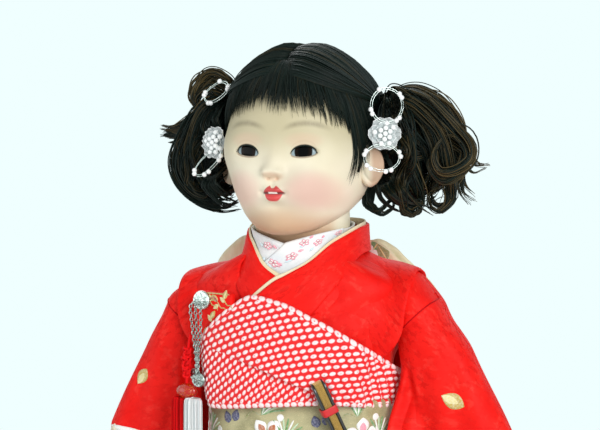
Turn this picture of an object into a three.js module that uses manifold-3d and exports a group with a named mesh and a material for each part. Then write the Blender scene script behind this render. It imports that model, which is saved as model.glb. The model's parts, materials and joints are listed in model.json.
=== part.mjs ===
// An ichimatsu doll: a Japanese play doll in a long-sleeved festival kimono.
// Millimetres, +Z up. The doll faces -Y and its left hand is on the +X side.

import * as THREE from "three";
import { mergeVertices } from "three/addons/utils/BufferGeometryUtils.js";
import Module from "manifold-3d";

const wasm = await Module();
wasm.setup();

// Clearances and cloth
const GAP = 0.4; // kept between neighbouring pieces
const CLOTH = 2; // lined kimono cloth
const FAR = 1000; // twice the doll and more, for cutting planes

// Heights, stacked from the floor
const SOLE = 7; // thickness of a sandal
const HEM = 10; // floor to the hem
const SKIRT = 158; // hem to the sash
const SASH = 58; // height of the sash
const CHEST = 57; // sash to the axis of the arms
const YOKE = 20; // axis of the arms to the foot of the neck
const NECK = 14; // foot of the neck to the chin
const FACE = 96; // chin to the top of the skull
const SASH_LOW = HEM + SKIRT;
const SASH_TOP = SASH_LOW + SASH;
const ARM_Z = SASH_TOP + CHEST;
const NECK_Z = ARM_Z + YOKE;
const CHIN_Z = NECK_Z + NECK;

// Robe
const HEM_HALF = 48; // half-width at the hem
const HEM_DEPTH = 40; // half-depth at the hem
const HEM_RISE = 11; // how far the hem lifts over the toes
const WAIST_HALF = 46.5;
const WAIST_DEPTH = 36;
const SHOULDER_HALF = 64;
const SHOULDER_DEPTH = 32.5;
const SQUARE = 2.4; // squareness of the robe's plan, where 2 is an ellipse
const ARM_PLANE = 56; // plane where the arms meet the body
const OVERLAP_STEP = 1.2; // the front panel's edge on the skirt
const HEM_FOLD = 1.4; // depth of the skirt's soft folds

// Head and hair
const HEAD_HALF = 39.8;
const HEAD_DEPTH = 44.2;
const EYE_R = 7;
const EYE_SPREAD = 15.8; // middle of the face to each eye
const EYE_HEIGHT = 46; // chin to the eyes
const EYE_PROUD = 1;
const NOSE_HEIGHT = 33;
const NOSE_R = 5.5;
const EAR_HEIGHT = 37;
const EAR_TALL = 11; // half the height of an ear
const EAR_FORE = 5; // ear before the axis of the neck
const NECK_R = 15;
const NECK_SINK = 6; // neck below the foot of the collar
const PEG_R = 6;
const PEG_DEPTH = 20; // peg inside the torso
const PEG_TOP = 10; // peg inside the neck
const HAIR = 7; // thickness of the crown hair
const FRINGE = 3.6; // thickness of the fringe
const FRINGE_HEIGHT = 63; // chin to the middle of the fringe's edge
const FRINGE_ARCH = 60; // radius of the fringe's edge
const FRINGE_FALL = 18; // middle of the fringe's edge down to the temples
const NAPE_HEIGHT = 53; // chin to the crown hair's lower edge, over the axis of the neck
const BUNCH_OUT = 30; // hair's surface to the axis of a bunch
const BUNCH_HEIGHT = 71; // chin to the root of a bunch
const BUNCH_BACK = 8; // bunch behind the axis of the neck
const BUNCH_DROP = 58; // root of a bunch to its lowest curl
const BUNCH_SPREAD = 14.5; // axis of a bunch to the middle of each curl
const LOCK_R = 6.6; // thickness of a lock, as a radius
const LOCKS = 5;
const CURL_R = 7;
const ROOT_R = 5; // gathered root of a bunch
const ROOT_SINK = 4; // root inside the hair's surface
const ROOT_LONG = 9; // root outside the hair's surface
const TIE_R = 1.5;
const TIE_OUT = 4; // hair's surface to the middle of the tie

// Hair ornaments
const FLOWER_R = 8;
const FLOWER_HEIGHT = 53; // chin to the flower
const PETALS = 6;
const CUP_DEEP = 3.8; // depth of the flower's cup
const PEARL_R = 1.5;
const PEARLS = 7;
const WIRE_R = 0.5;
const LOOP_R = 9;

// Collars
const COLLAR_RISE = 7; // chin to the top of the collar, which stands outside the jaw
const COLLAR_CLOTH = 1.8;
const CROSSING = 6.5; // foot of the neck to the crossing of the collar
const COLLAR_STANDS = 4; // collar's middle layer over the robe
const COLLAR_END = 24; // crossing to the tucked-in end
const TRIM = 1.8; // cream edge that shows
const TRIM_CLOTH = 0.8;
const UNDER_CLOTH = 1.2;
const UNDER_SINK = 5.1; // under-collar's foot below the collar's middle layer
const UNDER_RISE = 7.5; // chin to the under-collar's top at the nape

// Sash, bustle cloth, cord and bow
const SASH_WALL = 3;
const BUSTLE = 4.2; // thickness of the tie-dyed bustle cloth
const BUSTLE_RISE = 59; // top of the sash to the bustle cloth's highest point
const CORD_R = 2.4;
const CORD_HEIGHT = 28; // lower edge of the sash to the cord
const CORD_KNOT = 12;
const BOW_WALL = 1.4;
const BOW_REACH = 70; // middle to the tip of a wing
const BOW_TOP = 85; // top of the sash to the wing's highest corner
const BOW_LOW = 26; // top of the sash down to the wing's lower edge
const BOW_LOOP = 8; // half-depth of a wing's loop
const BOW_RISE = 18; // top of the sash to the middle of the knot
const BOW_FOLD = 1.6; // gathers beside the knot
const KNOT_HALF = 10.6;
const KNOT_DEPTH = 16;
const KNOT_HIGH = 36;
const TAIL_HALF = 22;
const TAIL_LONG = 74;
const TAIL_WAVE = 1.6;
const TAIL_CLOTH = 1.2; // half the thickness of the doubled cloth

// Arms and sleeves
const PIN_R = 2;
const PIN_IN = 20; // pin inside the torso
const PIN_OUT = 10; // pin inside the arm
const ARM_R = 9;
const WRIST_R = 5.6;
const UPPER_ARM = 42;
const FOREARM = 42;
const HAND = 26;
const THUMB_R = 2.2;
const THUMB_OUT = 9; // middle of the hand to the tip of the thumb
const ARM_SPREAD = 27; // degrees out from straight down
const ARM_FORWARD = 4; // degrees
const SLEEVE_WIDE = 43; // plane of the arms to the outer edge of the hanging bag
const SLEEVE_DROP = 208; // axis of the arms to the lowest corner of the sleeve
const SLEEVE_FOLD = 2.6; // depth of the hanging bag's folds
const FOLD_PITCH = 21; // from fold to fold
const SLEEVE_THICK = 18.5; // half-thickness at the shoulder
const SLEEVE_BAG = 8; // half-thickness of the hanging bag

// Legs and feet
const STANCE = 15; // middle to each foot
const HIP_Z = 150;
const THIGH_R = 14;
const ANKLE_R = 9;
const ANKLE_Z = 34;
const FOOT_HALF = 9.5;
const FOOT_FRONT = 40;
const FOOT_BACK = 13;
const FOOT_TALL = 18;
const SANDAL_EDGE = 3; // sandal beyond the foot
const STRAP_R = 1.6;
const TOE_SLIT = 1;

// Pocket case and what hangs on it
const CASE_WIDE = 25;
const CASE_TALL = 36;
const CASE_THICK = 4;
const CASE_IN = 10; // side of the waist to the centre of the case
const CASE_SINK = 2.2; // robe's front to the centre of the case
const CASE_TURN = 22; // degrees
const CASE_TOP = 61; // top of the sash to the case's upper edge
const CASE_LIFT = 20; // how far the case pulls up
const BOSS_R = 4.8;
const BOSS_HIGH = 3;
const BOSS_IN = 5; // side of the case to the middle of the boss
const CHAIN_R = 0.7;
const CHAIN_LONG = 33;
const CHAIN_SPREAD = 3; // middle chain to each outer chain
const DISC_R = 3.6;
const TASSEL_R = 3.4;
const TASSEL_LONG = 46;
const BEAD_R = 4.4;
const TASSEL_CORD = 27;
const TASSEL_FROM = 22; // upper edge of the case to the top of the cord

// Fan
const FAN_LONG = 70;
const FAN_ABOVE = 23; // fan above its seat on the sash
const FAN_LEAF = 3.6;
const FAN_DEEP = 6;
const FAN_GUARD = 1.5;
const FAN_BAND = 4;
const FAN_BAND_WALL = 0.8;
const FAN_BAND_FROM = 16; // upper end of the fan to the band
const RIVET_FROM = 4; // lower end of the fan to the rivet
const FAN_ANGLE = -50; // degrees round the sash from the doll's left
const FAN_SEAT = 50; // lower edge of the sash to the seat
const FAN_LEAN = 25.8; // degrees
const FAN_TILT = 4; // degrees, top away from the sash
const FAN_TRAVEL = 45;
const RIVET_R = 1.2;

const { PI, sin, cos, abs, sign, min, max } = Math;
const { degToRad, lerp, clamp, smoothstep } = THREE.MathUtils;
const range = (count) => Array.from({ length: count }, (_, i) => i);
const turn = (count, i) => (2 * PI * i) / count;
const add = (p, q, scale = 1) => p.map((v, k) => v + q[k] * scale);
const mix = (p, q, t) => p.map((v, k) => lerp(v, q[k], t));

// Smooth curve through stations [position, value, value...], flat beyond the ends.
function through(stations) {
  const slope = (i, k) => {
    const before = stations[max(i - 1, 0)];
    const after = stations[min(i + 1, stations.length - 1)];
    return (after[k] - before[k]) / (after[0] - before[0]);
  };
  return (position) => {
    const next = stations.findIndex((station) => station[0] > position);
    const i = clamp(next < 0 ? stations.length - 2 : next - 1, 0, stations.length - 2);
    const [here, there] = [stations[i], stations[i + 1]];
    const step = there[0] - here[0];
    const t = clamp((position - here[0]) / step, 0, 1);
    const rise = t * t * (3 - 2 * t);
    return here.slice(1).map((value, n) => {
      const bend = t * (1 - t) * step * ((1 - t) * slope(i, n + 1) - t * slope(i + 1, n + 1));
      return lerp(value, there[n + 1], rise) + bend;
    });
  };
}

// Closed mesh from points and triangles, turned so that its faces point out.
function meshed(points, triangles) {
  const corner = (i) => new THREE.Vector3(...points[i]);
  const volume = triangles.reduce((sum, [a, b, c]) => sum + corner(a).dot(corner(b).cross(corner(c))), 0);
  const faces = volume < 0 ? triangles.map(([a, b, c]) => [a, c, b]) : triangles;
  const geometry = new THREE.BufferGeometry();
  geometry.setAttribute("position", new THREE.Float32BufferAttribute(points.flat(), 3));
  geometry.setIndex(faces.flat());
  return geometry;
}

// Quads between rows of points, round each row.
function walls(rows, looped) {
  const n = rows[0].length;
  const triangles = [];
  for (const i of range(looped ? rows.length : rows.length - 1)) {
    const [a, b] = [i * n, ((i + 1) % rows.length) * n];
    for (const j of range(n)) {
      const k = (j + 1) % n;
      triangles.push([a + j, a + k, b + k], [a + j, b + k, b + j]);
    }
  }
  return triangles;
}

// Solid through a row of rings: looped on itself, or capped by fans.
function skin(rings, looped = false) {
  const points = rings.flat();
  const triangles = walls(rings, looped);
  const n = rings[0].length;
  if (!looped) {
    for (const end of [0, rings.length - 1]) {
      const middle = points.length;
      const ring = rings[end];
      points.push(ring.reduce((sum, p) => add(sum, p, 1 / n), [0, 0, 0]));
      for (const j of range(n)) {
        const [a, b] = [end * n + j, end * n + ((j + 1) % n)];
        triangles.push(end === 0 ? [middle, b, a] : [middle, a, b]);
      }
    }
  }
  return meshed(points, triangles);
}

// Sheet with a thickness: two grids of points joined round their edges.
function sheet(outer, inner) {
  const rows = outer.map((row, i) => [...row, ...[...inner[i]].reverse()]);
  const triangles = walls(rows, false);
  const n = rows[0].length;
  for (const start of [0, (rows.length - 1) * n]) {
    for (const j of range(n / 2 - 1)) {
      const [a, b, c, d] = [start + j, start + j + 1, start + n - 2 - j, start + n - 1 - j];
      const faces = [[a, c, b], [a, d, c]];
      triangles.push(...(start === 0 ? faces : faces.map(([p, q, r]) => [p, r, q])));
    }
  }
  return meshed(rows.flat(), triangles);
}

// Oval ring at a height, with half-width a and half-depth b.
function oval(z, a, b, { x = 0, y = 0, sides = 24, square = 2 } = {}) {
  const bow = (value) => sign(value) * abs(value) ** (2 / square);
  return range(sides).map((i) => [x + a * bow(cos(turn(sides, i))), y + b * bow(sin(turn(sides, i))), z]);
}

// Point on a surface of angle and height, moved out along its normal.
function off(surface, angle, z, distance) {
  const [turnStep, riseStep] = [0.01, 0.5];
  const tangent = (p, q) => new THREE.Vector3(...add(p, q, -1));
  const around = tangent(surface(angle + turnStep, z), surface(angle - turnStep, z));
  const up = tangent(surface(angle, z + riseStep), surface(angle, z - riseStep));
  return add(surface(angle, z), around.cross(up).normalize().toArray(), distance);
}

// Closed band of cloth on a surface, through a list of heights and between two offsets for each angle.
function band(surface, { heights, inner, outer, sides = 28 }) {
  const rings = range(sides).map((i) => {
    const angle = turn(sides, i);
    const rows = heights(angle);
    const last = rows.length - 1;
    const side = (distance) => rows.map((z, k) => off(surface, angle, z, distance(angle, k / last)));
    return [...side(outer), ...side(inner).reverse()];
  });
  return skin(rings, true);
}

// Tapered tube along a smooth curve through points.
function tube(points, radius, { steps = 12, sides = 6, closed = false } = {}) {
  const curve = new THREE.CatmullRomCurve3(points.map((p) => new THREE.Vector3(...p)), closed, "centripetal");
  const { normals, binormals } = curve.computeFrenetFrames(steps, closed);
  const rings = range(closed ? steps : steps + 1).map((i) => {
    const middle = curve.getPointAt(i / steps).toArray();
    const r = radius(i / steps);
    return range(sides).map((j) => {
      const across = add(middle, normals[i].toArray(), r * cos(turn(sides, j)));
      return add(across, binormals[i].toArray(), r * sin(turn(sides, j)));
    });
  });
  return skin(rings, closed);
}

const ball = (r, [x, y, z], [sx, sy, sz] = [1, 1, 1], detail = 1) =>
  new THREE.IcosahedronGeometry(r, detail).scale(sx, sy, sz).translate(x, y, z);
const rod = (r, from, to, sides = 16) => tube([from, to], () => r, { steps: 1, sides });

// Booleans
function solid(geometry) {
  const bare = new THREE.BufferGeometry();
  bare.setAttribute("position", geometry.getAttribute("position").clone());
  bare.setIndex(geometry.index ?? range(geometry.getAttribute("position").count));
  const merged = mergeVertices(bare, 1e-4);
  const vertProperties = new Float32Array(merged.getAttribute("position").array);
  const triVerts = new Uint32Array(merged.index.array);
  return new wasm.Manifold(new wasm.Mesh({ numProp: 3, vertProperties, triVerts }));
}
function shape(body) {
  const { vertProperties, triVerts } = body.getMesh();
  const geometry = new THREE.BufferGeometry();
  geometry.setAttribute("position", new THREE.BufferAttribute(new Float32Array(vertProperties), 3));
  geometry.setIndex(Array.from(triVerts));
  return geometry;
}
const join = (...parts) => shape(parts.map(solid).reduce((sum, part) => sum.add(part)));
const cut = (base, ...tools) => shape(tools.reduce((rest, tool) => rest.subtract(solid(tool)), solid(base)));
const common = (base, tool) => shape(solid(base).intersect(solid(tool)));

// Everything beyond a plane, on the side that its normal points to.
function beyond(point, normal) {
  const facing = new THREE.Quaternion().setFromUnitVectors(
    new THREE.Vector3(0, 0, 1),
    new THREE.Vector3(...normal).normalize(),
  );
  const block = new THREE.BoxGeometry(FAR, FAR, FAR).translate(0, 0, FAR / 2);
  return block.applyQuaternion(facing).translate(...point);
}
const insideArms = (geometry, plane) =>
  cut(geometry, beyond([plane, 0, 0], [1, 0, 0]), beyond([-plane, 0, 0], [-1, 0, 0]));

// The same geometry on the other side of the doll.
function mirrored(geometry) {
  const other = geometry.clone().scale(-1, 1, 1);
  const order = Array.from(other.index ? other.index.array : range(other.getAttribute("position").count));
  for (let i = 0; i < order.length; i += 3) {
    [order[i + 1], order[i + 2]] = [order[i + 2], order[i + 1]];
  }
  other.setIndex(order);
  return other;
}

// Materials
const finish = (color, roughness, metalness = 0) =>
  new THREE.MeshStandardMaterial({ color, roughness, metalness });
const shellWhite = finish("#efdcc8", 0.55);
const eyeGlass = finish("#120c0a", 0.05);
const blackHair = finish("#17130f", 0.35);
const petalFilm = finish("#e9e6e2", 0.25);
const pearl = finish("#efe4da", 0.25);
const silver = finish("#b9b6b2", 0.25, 1);
const wood = finish("#a8845a", 0.6);
const underSilk = finish("#f4ece2", 0.7);
const creamSilk = finish("#ece0bf", 0.6);
const redSilk = finish("#b5121f", 0.6);
const dyedSilk = finish("#d8687a", 0.7);
const brocade = finish("#c9b98d", 0.55);
const blackLacquer = finish("#0d0c0d", 0.2);
const goldPaper = finish("#c39a3f", 0.4, 0.4);
const redPaper = finish("#b0121b", 0.6);
const redThread = finish("#c01420", 0.7);
const whiteThread = finish("#efe9e2", 0.7);
const whiteCotton = finish("#f2eee8", 0.8);

const doll = new THREE.Group();
function piece(name, geometry, material) {
  const mesh = new THREE.Mesh(geometry, material);
  mesh.name = name;
  doll.add(mesh);
}
function pair(name, geometry, material) {
  piece(`left_${name}`, geometry, material);
  piece(`right_${name}`, mirrored(geometry), material);
}

// Robe surface: half-widths and half-depths from the hem to the foot of the neck
const robeAt = through([
  [HEM, HEM_HALF, HEM_DEPTH],
  [HEM + 0.2 * SKIRT, 0.958 * HEM_HALF, 0.94 * HEM_DEPTH],
  [SASH_LOW, WAIST_HALF, 1.014 * WAIST_DEPTH],
  [SASH_TOP, WAIST_HALF, WAIST_DEPTH],
  [ARM_Z - 0.53 * CHEST, 1.075 * WAIST_HALF, 0.986 * WAIST_DEPTH],
  [ARM_Z - 0.26 * CHEST, 0.89 * SHOULDER_HALF, 1.077 * SHOULDER_DEPTH],
  [ARM_Z + 0.25 * YOKE, SHOULDER_HALF, SHOULDER_DEPTH],
  [ARM_Z + 0.6 * YOKE, 0.922 * SHOULDER_HALF, 0.954 * SHOULDER_DEPTH],
  [NECK_Z - 0.1 * YOKE, 0.75 * SHOULDER_HALF, 0.892 * SHOULDER_DEPTH],
  [NECK_Z + 0.1 * YOKE, 0.594 * SHOULDER_HALF, 0.831 * SHOULDER_DEPTH],
  [NECK_Z + 0.3 * YOKE, 0.453 * SHOULDER_HALF, 0.738 * SHOULDER_DEPTH],
]);
function plain(profile) {
  const bow = (value) => sign(value) * abs(value) ** (2 / SQUARE);
  return (angle, z) => {
    const [a, b, y = 0] = profile(z);
    return [a * bow(cos(angle)), b * bow(sin(angle)) + y, z];
  };
}
const robeBody = plain(robeAt);
function robe(angle, z) {
  const skirt = smoothstep(SASH_LOW - z, 0.05 * SKIRT, 0.25 * SKIRT);
  const besidePanel = smoothstep(cos(angle + degToRad(75)), 0.7, 0.78);
  const front = smoothstep(sin(angle + degToRad(25)), -0.1, -0.3) * besidePanel;
  const folds = HEM_FOLD * smoothstep(HEM + 0.5 * SKIRT - z, 0, 0.5 * SKIRT) * cos(7 * angle + 0.6);
  return off(robeBody, angle, z, skirt * (OVERLAP_STEP * front + folds));
}

// Torso, neck peg, shoulder pins
const torsoAt = through([
  [HIP_Z, 0.774 * WAIST_HALF, 0.778 * WAIST_DEPTH],
  [SASH_LOW, 0.817 * WAIST_HALF, 0.778 * WAIST_DEPTH],
  [SASH_TOP, 0.774 * WAIST_HALF, 0.75 * WAIST_DEPTH],
  [ARM_Z - 0.4 * CHEST, 0.817 * WAIST_HALF, 0.75 * WAIST_DEPTH],
  [ARM_Z, 0.75 * ARM_PLANE, 0.667 * WAIST_DEPTH],
  [ARM_Z + 0.4 * YOKE, 0.625 * ARM_PLANE, 0.556 * WAIST_DEPTH],
  [NECK_Z - NECK_SINK - GAP, 1.2 * NECK_R, 1.133 * NECK_R],
]);
const torsoForm = (grow) => {
  const top = NECK_Z - NECK_SINK - GAP;
  const heights = range(9).map((i) => lerp(HIP_Z, top, 1 - (1 - i / 8) ** 1.5));
  return skin(heights.map((z) => {
    const [a, b] = torsoAt(z);
    const end = z === HIP_Z ? -grow : z === top ? grow : 0;
    return oval(z + end, a + grow, b + grow, { sides: 14 });
  }));
};
const neckFoot = NECK_Z - NECK_SINK;
const pegForm = (grow) =>
  rod(PEG_R + grow, [0, 0, neckFoot - PEG_DEPTH - grow], [0, 0, neckFoot + PEG_TOP + grow], 14);
const shoulderX = 0.75 * ARM_PLANE;
const pinForm = (grow) =>
  rod(PIN_R + grow, [shoulderX - PIN_IN - grow, 0, ARM_Z], [ARM_PLANE + PIN_OUT + grow, 0, ARM_Z], 10);
piece("torso", cut(torsoForm(0), pegForm(GAP), pinForm(GAP), mirrored(pinForm(GAP))), wood);
piece("neck_peg", pegForm(0), wood);
pair("shoulder_pin", pinForm(0), wood);

// Head: rings from the chin to the top of the skull, each with its own middle
const headAt = through([
  [CHIN_Z + 0.005 * FACE, 0.2 * HEAD_HALF, 0.16 * HEAD_DEPTH, -0.54 * HEAD_DEPTH],
  [CHIN_Z + 0.03 * FACE, 0.4 * HEAD_HALF, 0.36 * HEAD_DEPTH, -0.45 * HEAD_DEPTH],
  [CHIN_Z + 0.094 * FACE, 0.62 * HEAD_HALF, 0.61 * HEAD_DEPTH, -0.27 * HEAD_DEPTH],
  [CHIN_Z + 0.167 * FACE, 0.78 * HEAD_HALF, 0.79 * HEAD_DEPTH, -0.125 * HEAD_DEPTH],
  [CHIN_Z + 0.24 * FACE, 0.894 * HEAD_HALF, 0.916 * HEAD_DEPTH, -0.034 * HEAD_DEPTH],
  [CHIN_Z + 0.333 * FACE, 0.975 * HEAD_HALF, 0.984 * HEAD_DEPTH, 0.023 * HEAD_DEPTH],
  [CHIN_Z + 0.44 * FACE, HEAD_HALF, HEAD_DEPTH, 0.045 * HEAD_DEPTH],
  [CHIN_Z + 0.635 * FACE, 0.955 * HEAD_HALF, 0.977 * HEAD_DEPTH, 0.045 * HEAD_DEPTH],
  [CHIN_Z + 0.76 * FACE, 0.867 * HEAD_HALF, 0.9 * HEAD_DEPTH, 0.045 * HEAD_DEPTH],
  [CHIN_Z + 0.865 * FACE, 0.7 * HEAD_HALF, 0.735 * HEAD_DEPTH, 0.045 * HEAD_DEPTH],
  [CHIN_Z + 0.95 * FACE, 0.44 * HEAD_HALF, 0.475 * HEAD_DEPTH, 0.045 * HEAD_DEPTH],
  [CHIN_Z + FACE, 0.08 * HEAD_HALF, 0.09 * HEAD_DEPTH, 0.045 * HEAD_DEPTH],
]);
function headSurface(angle, z) {
  const [a, b, y] = headAt(z);
  return [a * cos(angle), y + b * sin(angle), z];
}
const headRows = [0.005, 0.03, 0.09, 0.167, 0.24, 0.333, 0.46, 0.635, 0.76, 0.865, 0.95, 1];
const HEAD_SIDES = 22;
const headForm = (grow, rows = headRows) =>
  skin(rows.map((f) => {
    const z = CHIN_Z + f * FACE;
    return range(HEAD_SIDES).map((i) => off(headSurface, turn(HEAD_SIDES, i), z, grow));
  }));
const faceY = (x, z) => {
  const [a, b, y] = headAt(z);
  return y - b * Math.sqrt(1 - (x / a) ** 2);
};
const eyeZ = CHIN_Z + EYE_HEIGHT;
const eyePoint = [EYE_SPREAD, faceY(EYE_SPREAD, eyeZ) - EYE_PROUD + EYE_R, eyeZ];
const noseZ = CHIN_Z + NOSE_HEIGHT;
const nose = ball(NOSE_R, [0, faceY(0, noseZ) + 1, noseZ], [1, 1, 1.2]);
const earZ = CHIN_Z + EAR_HEIGHT;
const earForm = (grow) => ball(EAR_TALL + grow, [headAt(earZ)[0], -EAR_FORE, earZ], [0.42, 0.6, 1]);
const neckForm = (grow) =>
  rod(NECK_R + grow, [0, 0, neckFoot], [0, 0, CHIN_Z + 0.2 * FACE], 18);
const eyes = [ball(EYE_R + GAP, eyePoint), mirrored(ball(EYE_R + GAP, eyePoint))];
const wholeHead = join(headForm(0), nose, earForm(0), mirrored(earForm(0)), neckForm(0));
piece("head_shell", cut(wholeHead, pegForm(GAP), ...eyes), shellWhite);
pair("eye", ball(EYE_R, eyePoint), eyeGlass);

// Wig: crown hair behind a sloping front edge, and the fringe before it
const hairRows = [0.24, 0.333, 0.46, 0.635, 0.76, 0.865, 0.95, 1];
const partPoint = [0, -0.52 * HEAD_DEPTH, CHIN_Z + 0.99 * FACE];
const templeSlope = [0, -0.92, -0.4];
const hairForm = (grow) => headForm(HAIR + grow, hairRows);
const frontHair = beyond(partPoint, templeSlope);
const napePoint = [0, 0, CHIN_Z + NAPE_HEIGHT];
const belowHair = beyond(napePoint, [0, -0.55, -0.84]);
const scalp = headForm(GAP);
const earRoom = [earForm(GAP), mirrored(earForm(GAP))];
piece("crown_hair", cut(hairForm(0), scalp, frontHair, belowHair, ...earRoom), blackHair);
const fringeLimit = beyond(add(partPoint, templeSlope, GAP), templeSlope);
const archZ = CHIN_Z + FRINGE_HEIGHT - FRINGE_ARCH;
const fringeArch = rod(FRINGE_ARCH, [0, -FAR / 4, archZ], [0, FAR / 4, archZ], 36);
const fringeLow = beyond([0, 0, CHIN_Z + FRINGE_HEIGHT - FRINGE_FALL], [0, 0, -1]);
const fringe = common(cut(headForm(FRINGE, hairRows), scalp, fringeArch, fringeLow, ...earRoom), fringeLimit);
piece("fringe", fringe, blackHair);

// Curled bunches over the ears, gathered by a tie
const rootZ = CHIN_Z + BUNCH_HEIGHT;
const rootY = BUNCH_BACK;
const rootX = off(headSurface, 0, rootZ, HAIR)[0];
const rootEnds = [[rootX - ROOT_SINK, rootY, rootZ], [rootX + ROOT_LONG, rootY, rootZ + 0.2 * ROOT_R]];
const bunchX = rootX + BUNCH_OUT;
function lock(i) {
  const side = turn(LOCKS, i) + 0.9;
  const [outX, outY] = [BUNCH_SPREAD * cos(side), BUNCH_SPREAD * sin(side)];
  const curl = (t) => {
    const swirl = side + 2.6 * PI * t;
    const r = CURL_R * lerp(0.714, 1, t);
    const drop = BUNCH_DROP * (0.07 - t);
    return [bunchX + outX + r * cos(swirl), rootY + outY + r * sin(swirl), rootZ + drop];
  };
  const arch = [lerp(rootX, bunchX, 0.7) + 0.4 * outX, rootY + 0.5 * outY, rootZ + 0.138 * BUNCH_DROP];
  const path = [...rootEnds, arch, ...range(7).map((k) => curl(0.1 + 0.15 * k))];
  const thicken = (t) => lerp(0.92 * ROOT_R, LOCK_R, smoothstep(t, 0.1, 0.3));
  const taper = (t) => lerp(1, 0.55, smoothstep(t, 0.6, 1));
  return tube(path, (t) => thicken(t) * taper(t), { steps: 8, sides: 5 });
}
const bunchRoot = rod(ROOT_R, ...rootEnds, 8);
const tieRing = range(12).map((i) => {
  const r = ROOT_R + GAP + TIE_R;
  return [rootX + TIE_OUT, rootY + r * cos(turn(12, i)), rootZ + 0.12 * ROOT_R + r * sin(turn(12, i))];
});
const tieForm = (grow) => tube(tieRing, () => TIE_R + grow, { steps: 12, sides: 4, closed: true });
const bunchRoom = [hairForm(GAP), headForm(2 * GAP), earForm(2 * GAP), tieForm(GAP)];
const bunch = cut(join(bunchRoot, ...range(LOCKS).map(lock)), ...bunchRoom);
pair("bunch", bunch, blackHair);
pair("bunch_tie", cut(tieForm(0), hairForm(GAP)), blackHair);

// Flower of clear petals with pearls, and two wire loops with pearls
const flowerZ = CHIN_Z + FLOWER_HEIGHT;
const flowerAngle = -0.24;
const flowerFace = new THREE.Vector3(0.62, -0.78, 0.06).normalize();
const flowerSeat = off(headSurface, flowerAngle, flowerZ, FRINGE + GAP);
const flowerPoint = add(flowerSeat, [0.7, -0.1, 0]);
const flowerTurn = new THREE.Quaternion().setFromUnitVectors(new THREE.Vector3(0, 0, 1), flowerFace);
const onFlower = (geometry) => geometry.applyQuaternion(flowerTurn).translate(...flowerPoint);
const petalRing = (share, z) =>
  range(24).map((i) => {
    const r = FLOWER_R * share * (0.86 + 0.14 * cos(PETALS * turn(24, i)));
    return [r * cos(turn(24, i)), r * sin(turn(24, i)), z];
  });
const cupRings = [[0.15, 0], [0.6, 0.16], [1, 0.8], [0.96, 1], [0.5, 0.45]];
const cup = skin(cupRings.map(([share, deep]) => petalRing(share, deep * CUP_DEEP)));
const hairAround = join(headForm(FRINGE + GAP, hairRows), cut(hairForm(GAP), fringeLimit));
pair("flower", cut(onFlower(cup), hairAround), petalFilm);
const pearlRing = range(PEARLS).map((i) => {
  const r = (PEARL_R * 0.96) / sin(PI / PEARLS);
  return ball(PEARL_R, [r * cos(turn(PEARLS, i)), r * sin(turn(PEARLS, i)), 3.6], [1, 1, 1], 0);
});
const pearlSeat = rod(0.36 * FLOWER_R, [0, 0, 2 + GAP], [0, 0, 3.4], 8);
const pearls = join(pearlSeat, ...pearlRing, ball(PEARL_R, [0, 0, 4.2], [1, 1, 1], 0));
pair("flower_pearls", cut(onFlower(pearls), hairAround), pearl);
function wireLoop(centre, wide, tall, count) {
  const at = (t) => add(add(centre, [0.25, 0.97, 0], wide * cos(t)), [0.1, 0, 0.99], tall * sin(t));
  const ring = range(16).map((i) => at(turn(16, i)));
  const wire = tube(ring, () => WIRE_R, { steps: 16, sides: 3, closed: true });
  return join(wire, ...range(count).map((i) => ball(PEARL_R, at(turn(count, i)), [1, 1, 1], 0)));
}
const upperLoop = add(flowerPoint, [1.6, -2, FLOWER_R + LOOP_R + 1]);
const earSide = headAt(earZ)[0] + 0.42 * EAR_TALL;
const lowerLoop = [earSide + GAP, flowerPoint[1] - 1, flowerPoint[2] - FLOWER_R - 0.8 * LOOP_R - 0.6];
const besideLoops = [hairAround, earForm(GAP), bunch, tieForm(GAP)];
pair("upper_loop", cut(wireLoop(upperLoop, 0.75 * LOOP_R, LOOP_R, 4), ...besideLoops), silver);
pair("lower_loop", cut(wireLoop(lowerLoop, LOOP_R, 0.8 * LOOP_R, 4), ...besideLoops), silver);

// Collars: a strip on its own surface outside the robe, whose left end crosses over its right end
const collarTop = CHIN_Z + COLLAR_RISE;
const crossZ = NECK_Z - CROSSING;
const collarAt = through([
  [SASH_TOP + 0.2 * CHEST, WAIST_HALF + COLLAR_STANDS, WAIST_DEPTH + COLLAR_STANDS, 0],
  [ARM_Z - 0.2 * CHEST, 1.129 * WAIST_HALF, 1.077 * SHOULDER_DEPTH + COLLAR_STANDS, 0],
  [ARM_Z + 0.2 * YOKE, 1.032 * WAIST_HALF, SHOULDER_DEPTH + COLLAR_STANDS, 0],
  [crossZ, 0.903 * WAIST_HALF, 0.938 * SHOULDER_DEPTH + COLLAR_STANDS, 0],
  [NECK_Z + 0.15 * YOKE, 2.4 * NECK_R, 2.1 * NECK_R, 0.1 * NECK_R],
  [CHIN_Z - 1, 2.133 * NECK_R, 1.933 * NECK_R, 0.267 * NECK_R],
  [collarTop + TRIM, 2 * NECK_R, 1.8 * NECK_R, 0.467 * NECK_R],
]);
const collarBody = plain(collarAt);
const edgeTop = through([
  [-95, collarTop], [0, collarTop - 1.5], [45, crossZ + 0.77 * COLLAR_END],
  [70, crossZ + 0.333 * COLLAR_END], [90, crossZ], [105, crossZ - 0.458 * COLLAR_END],
  [120, crossZ - COLLAR_END], [135, crossZ - 1.5 * COLLAR_END],
]);
const edgeLow = through([
  [-95, NECK_Z + 0.15 * YOKE], [0, NECK_Z + 0.25 * YOKE], [35, crossZ + 0.125 * COLLAR_END],
  [60, crossZ - 0.354 * COLLAR_END], [73, crossZ - 0.77 * COLLAR_END],
  [85, crossZ - 1.125 * COLLAR_END], [100, crossZ - 1.583 * COLLAR_END],
]);
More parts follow.
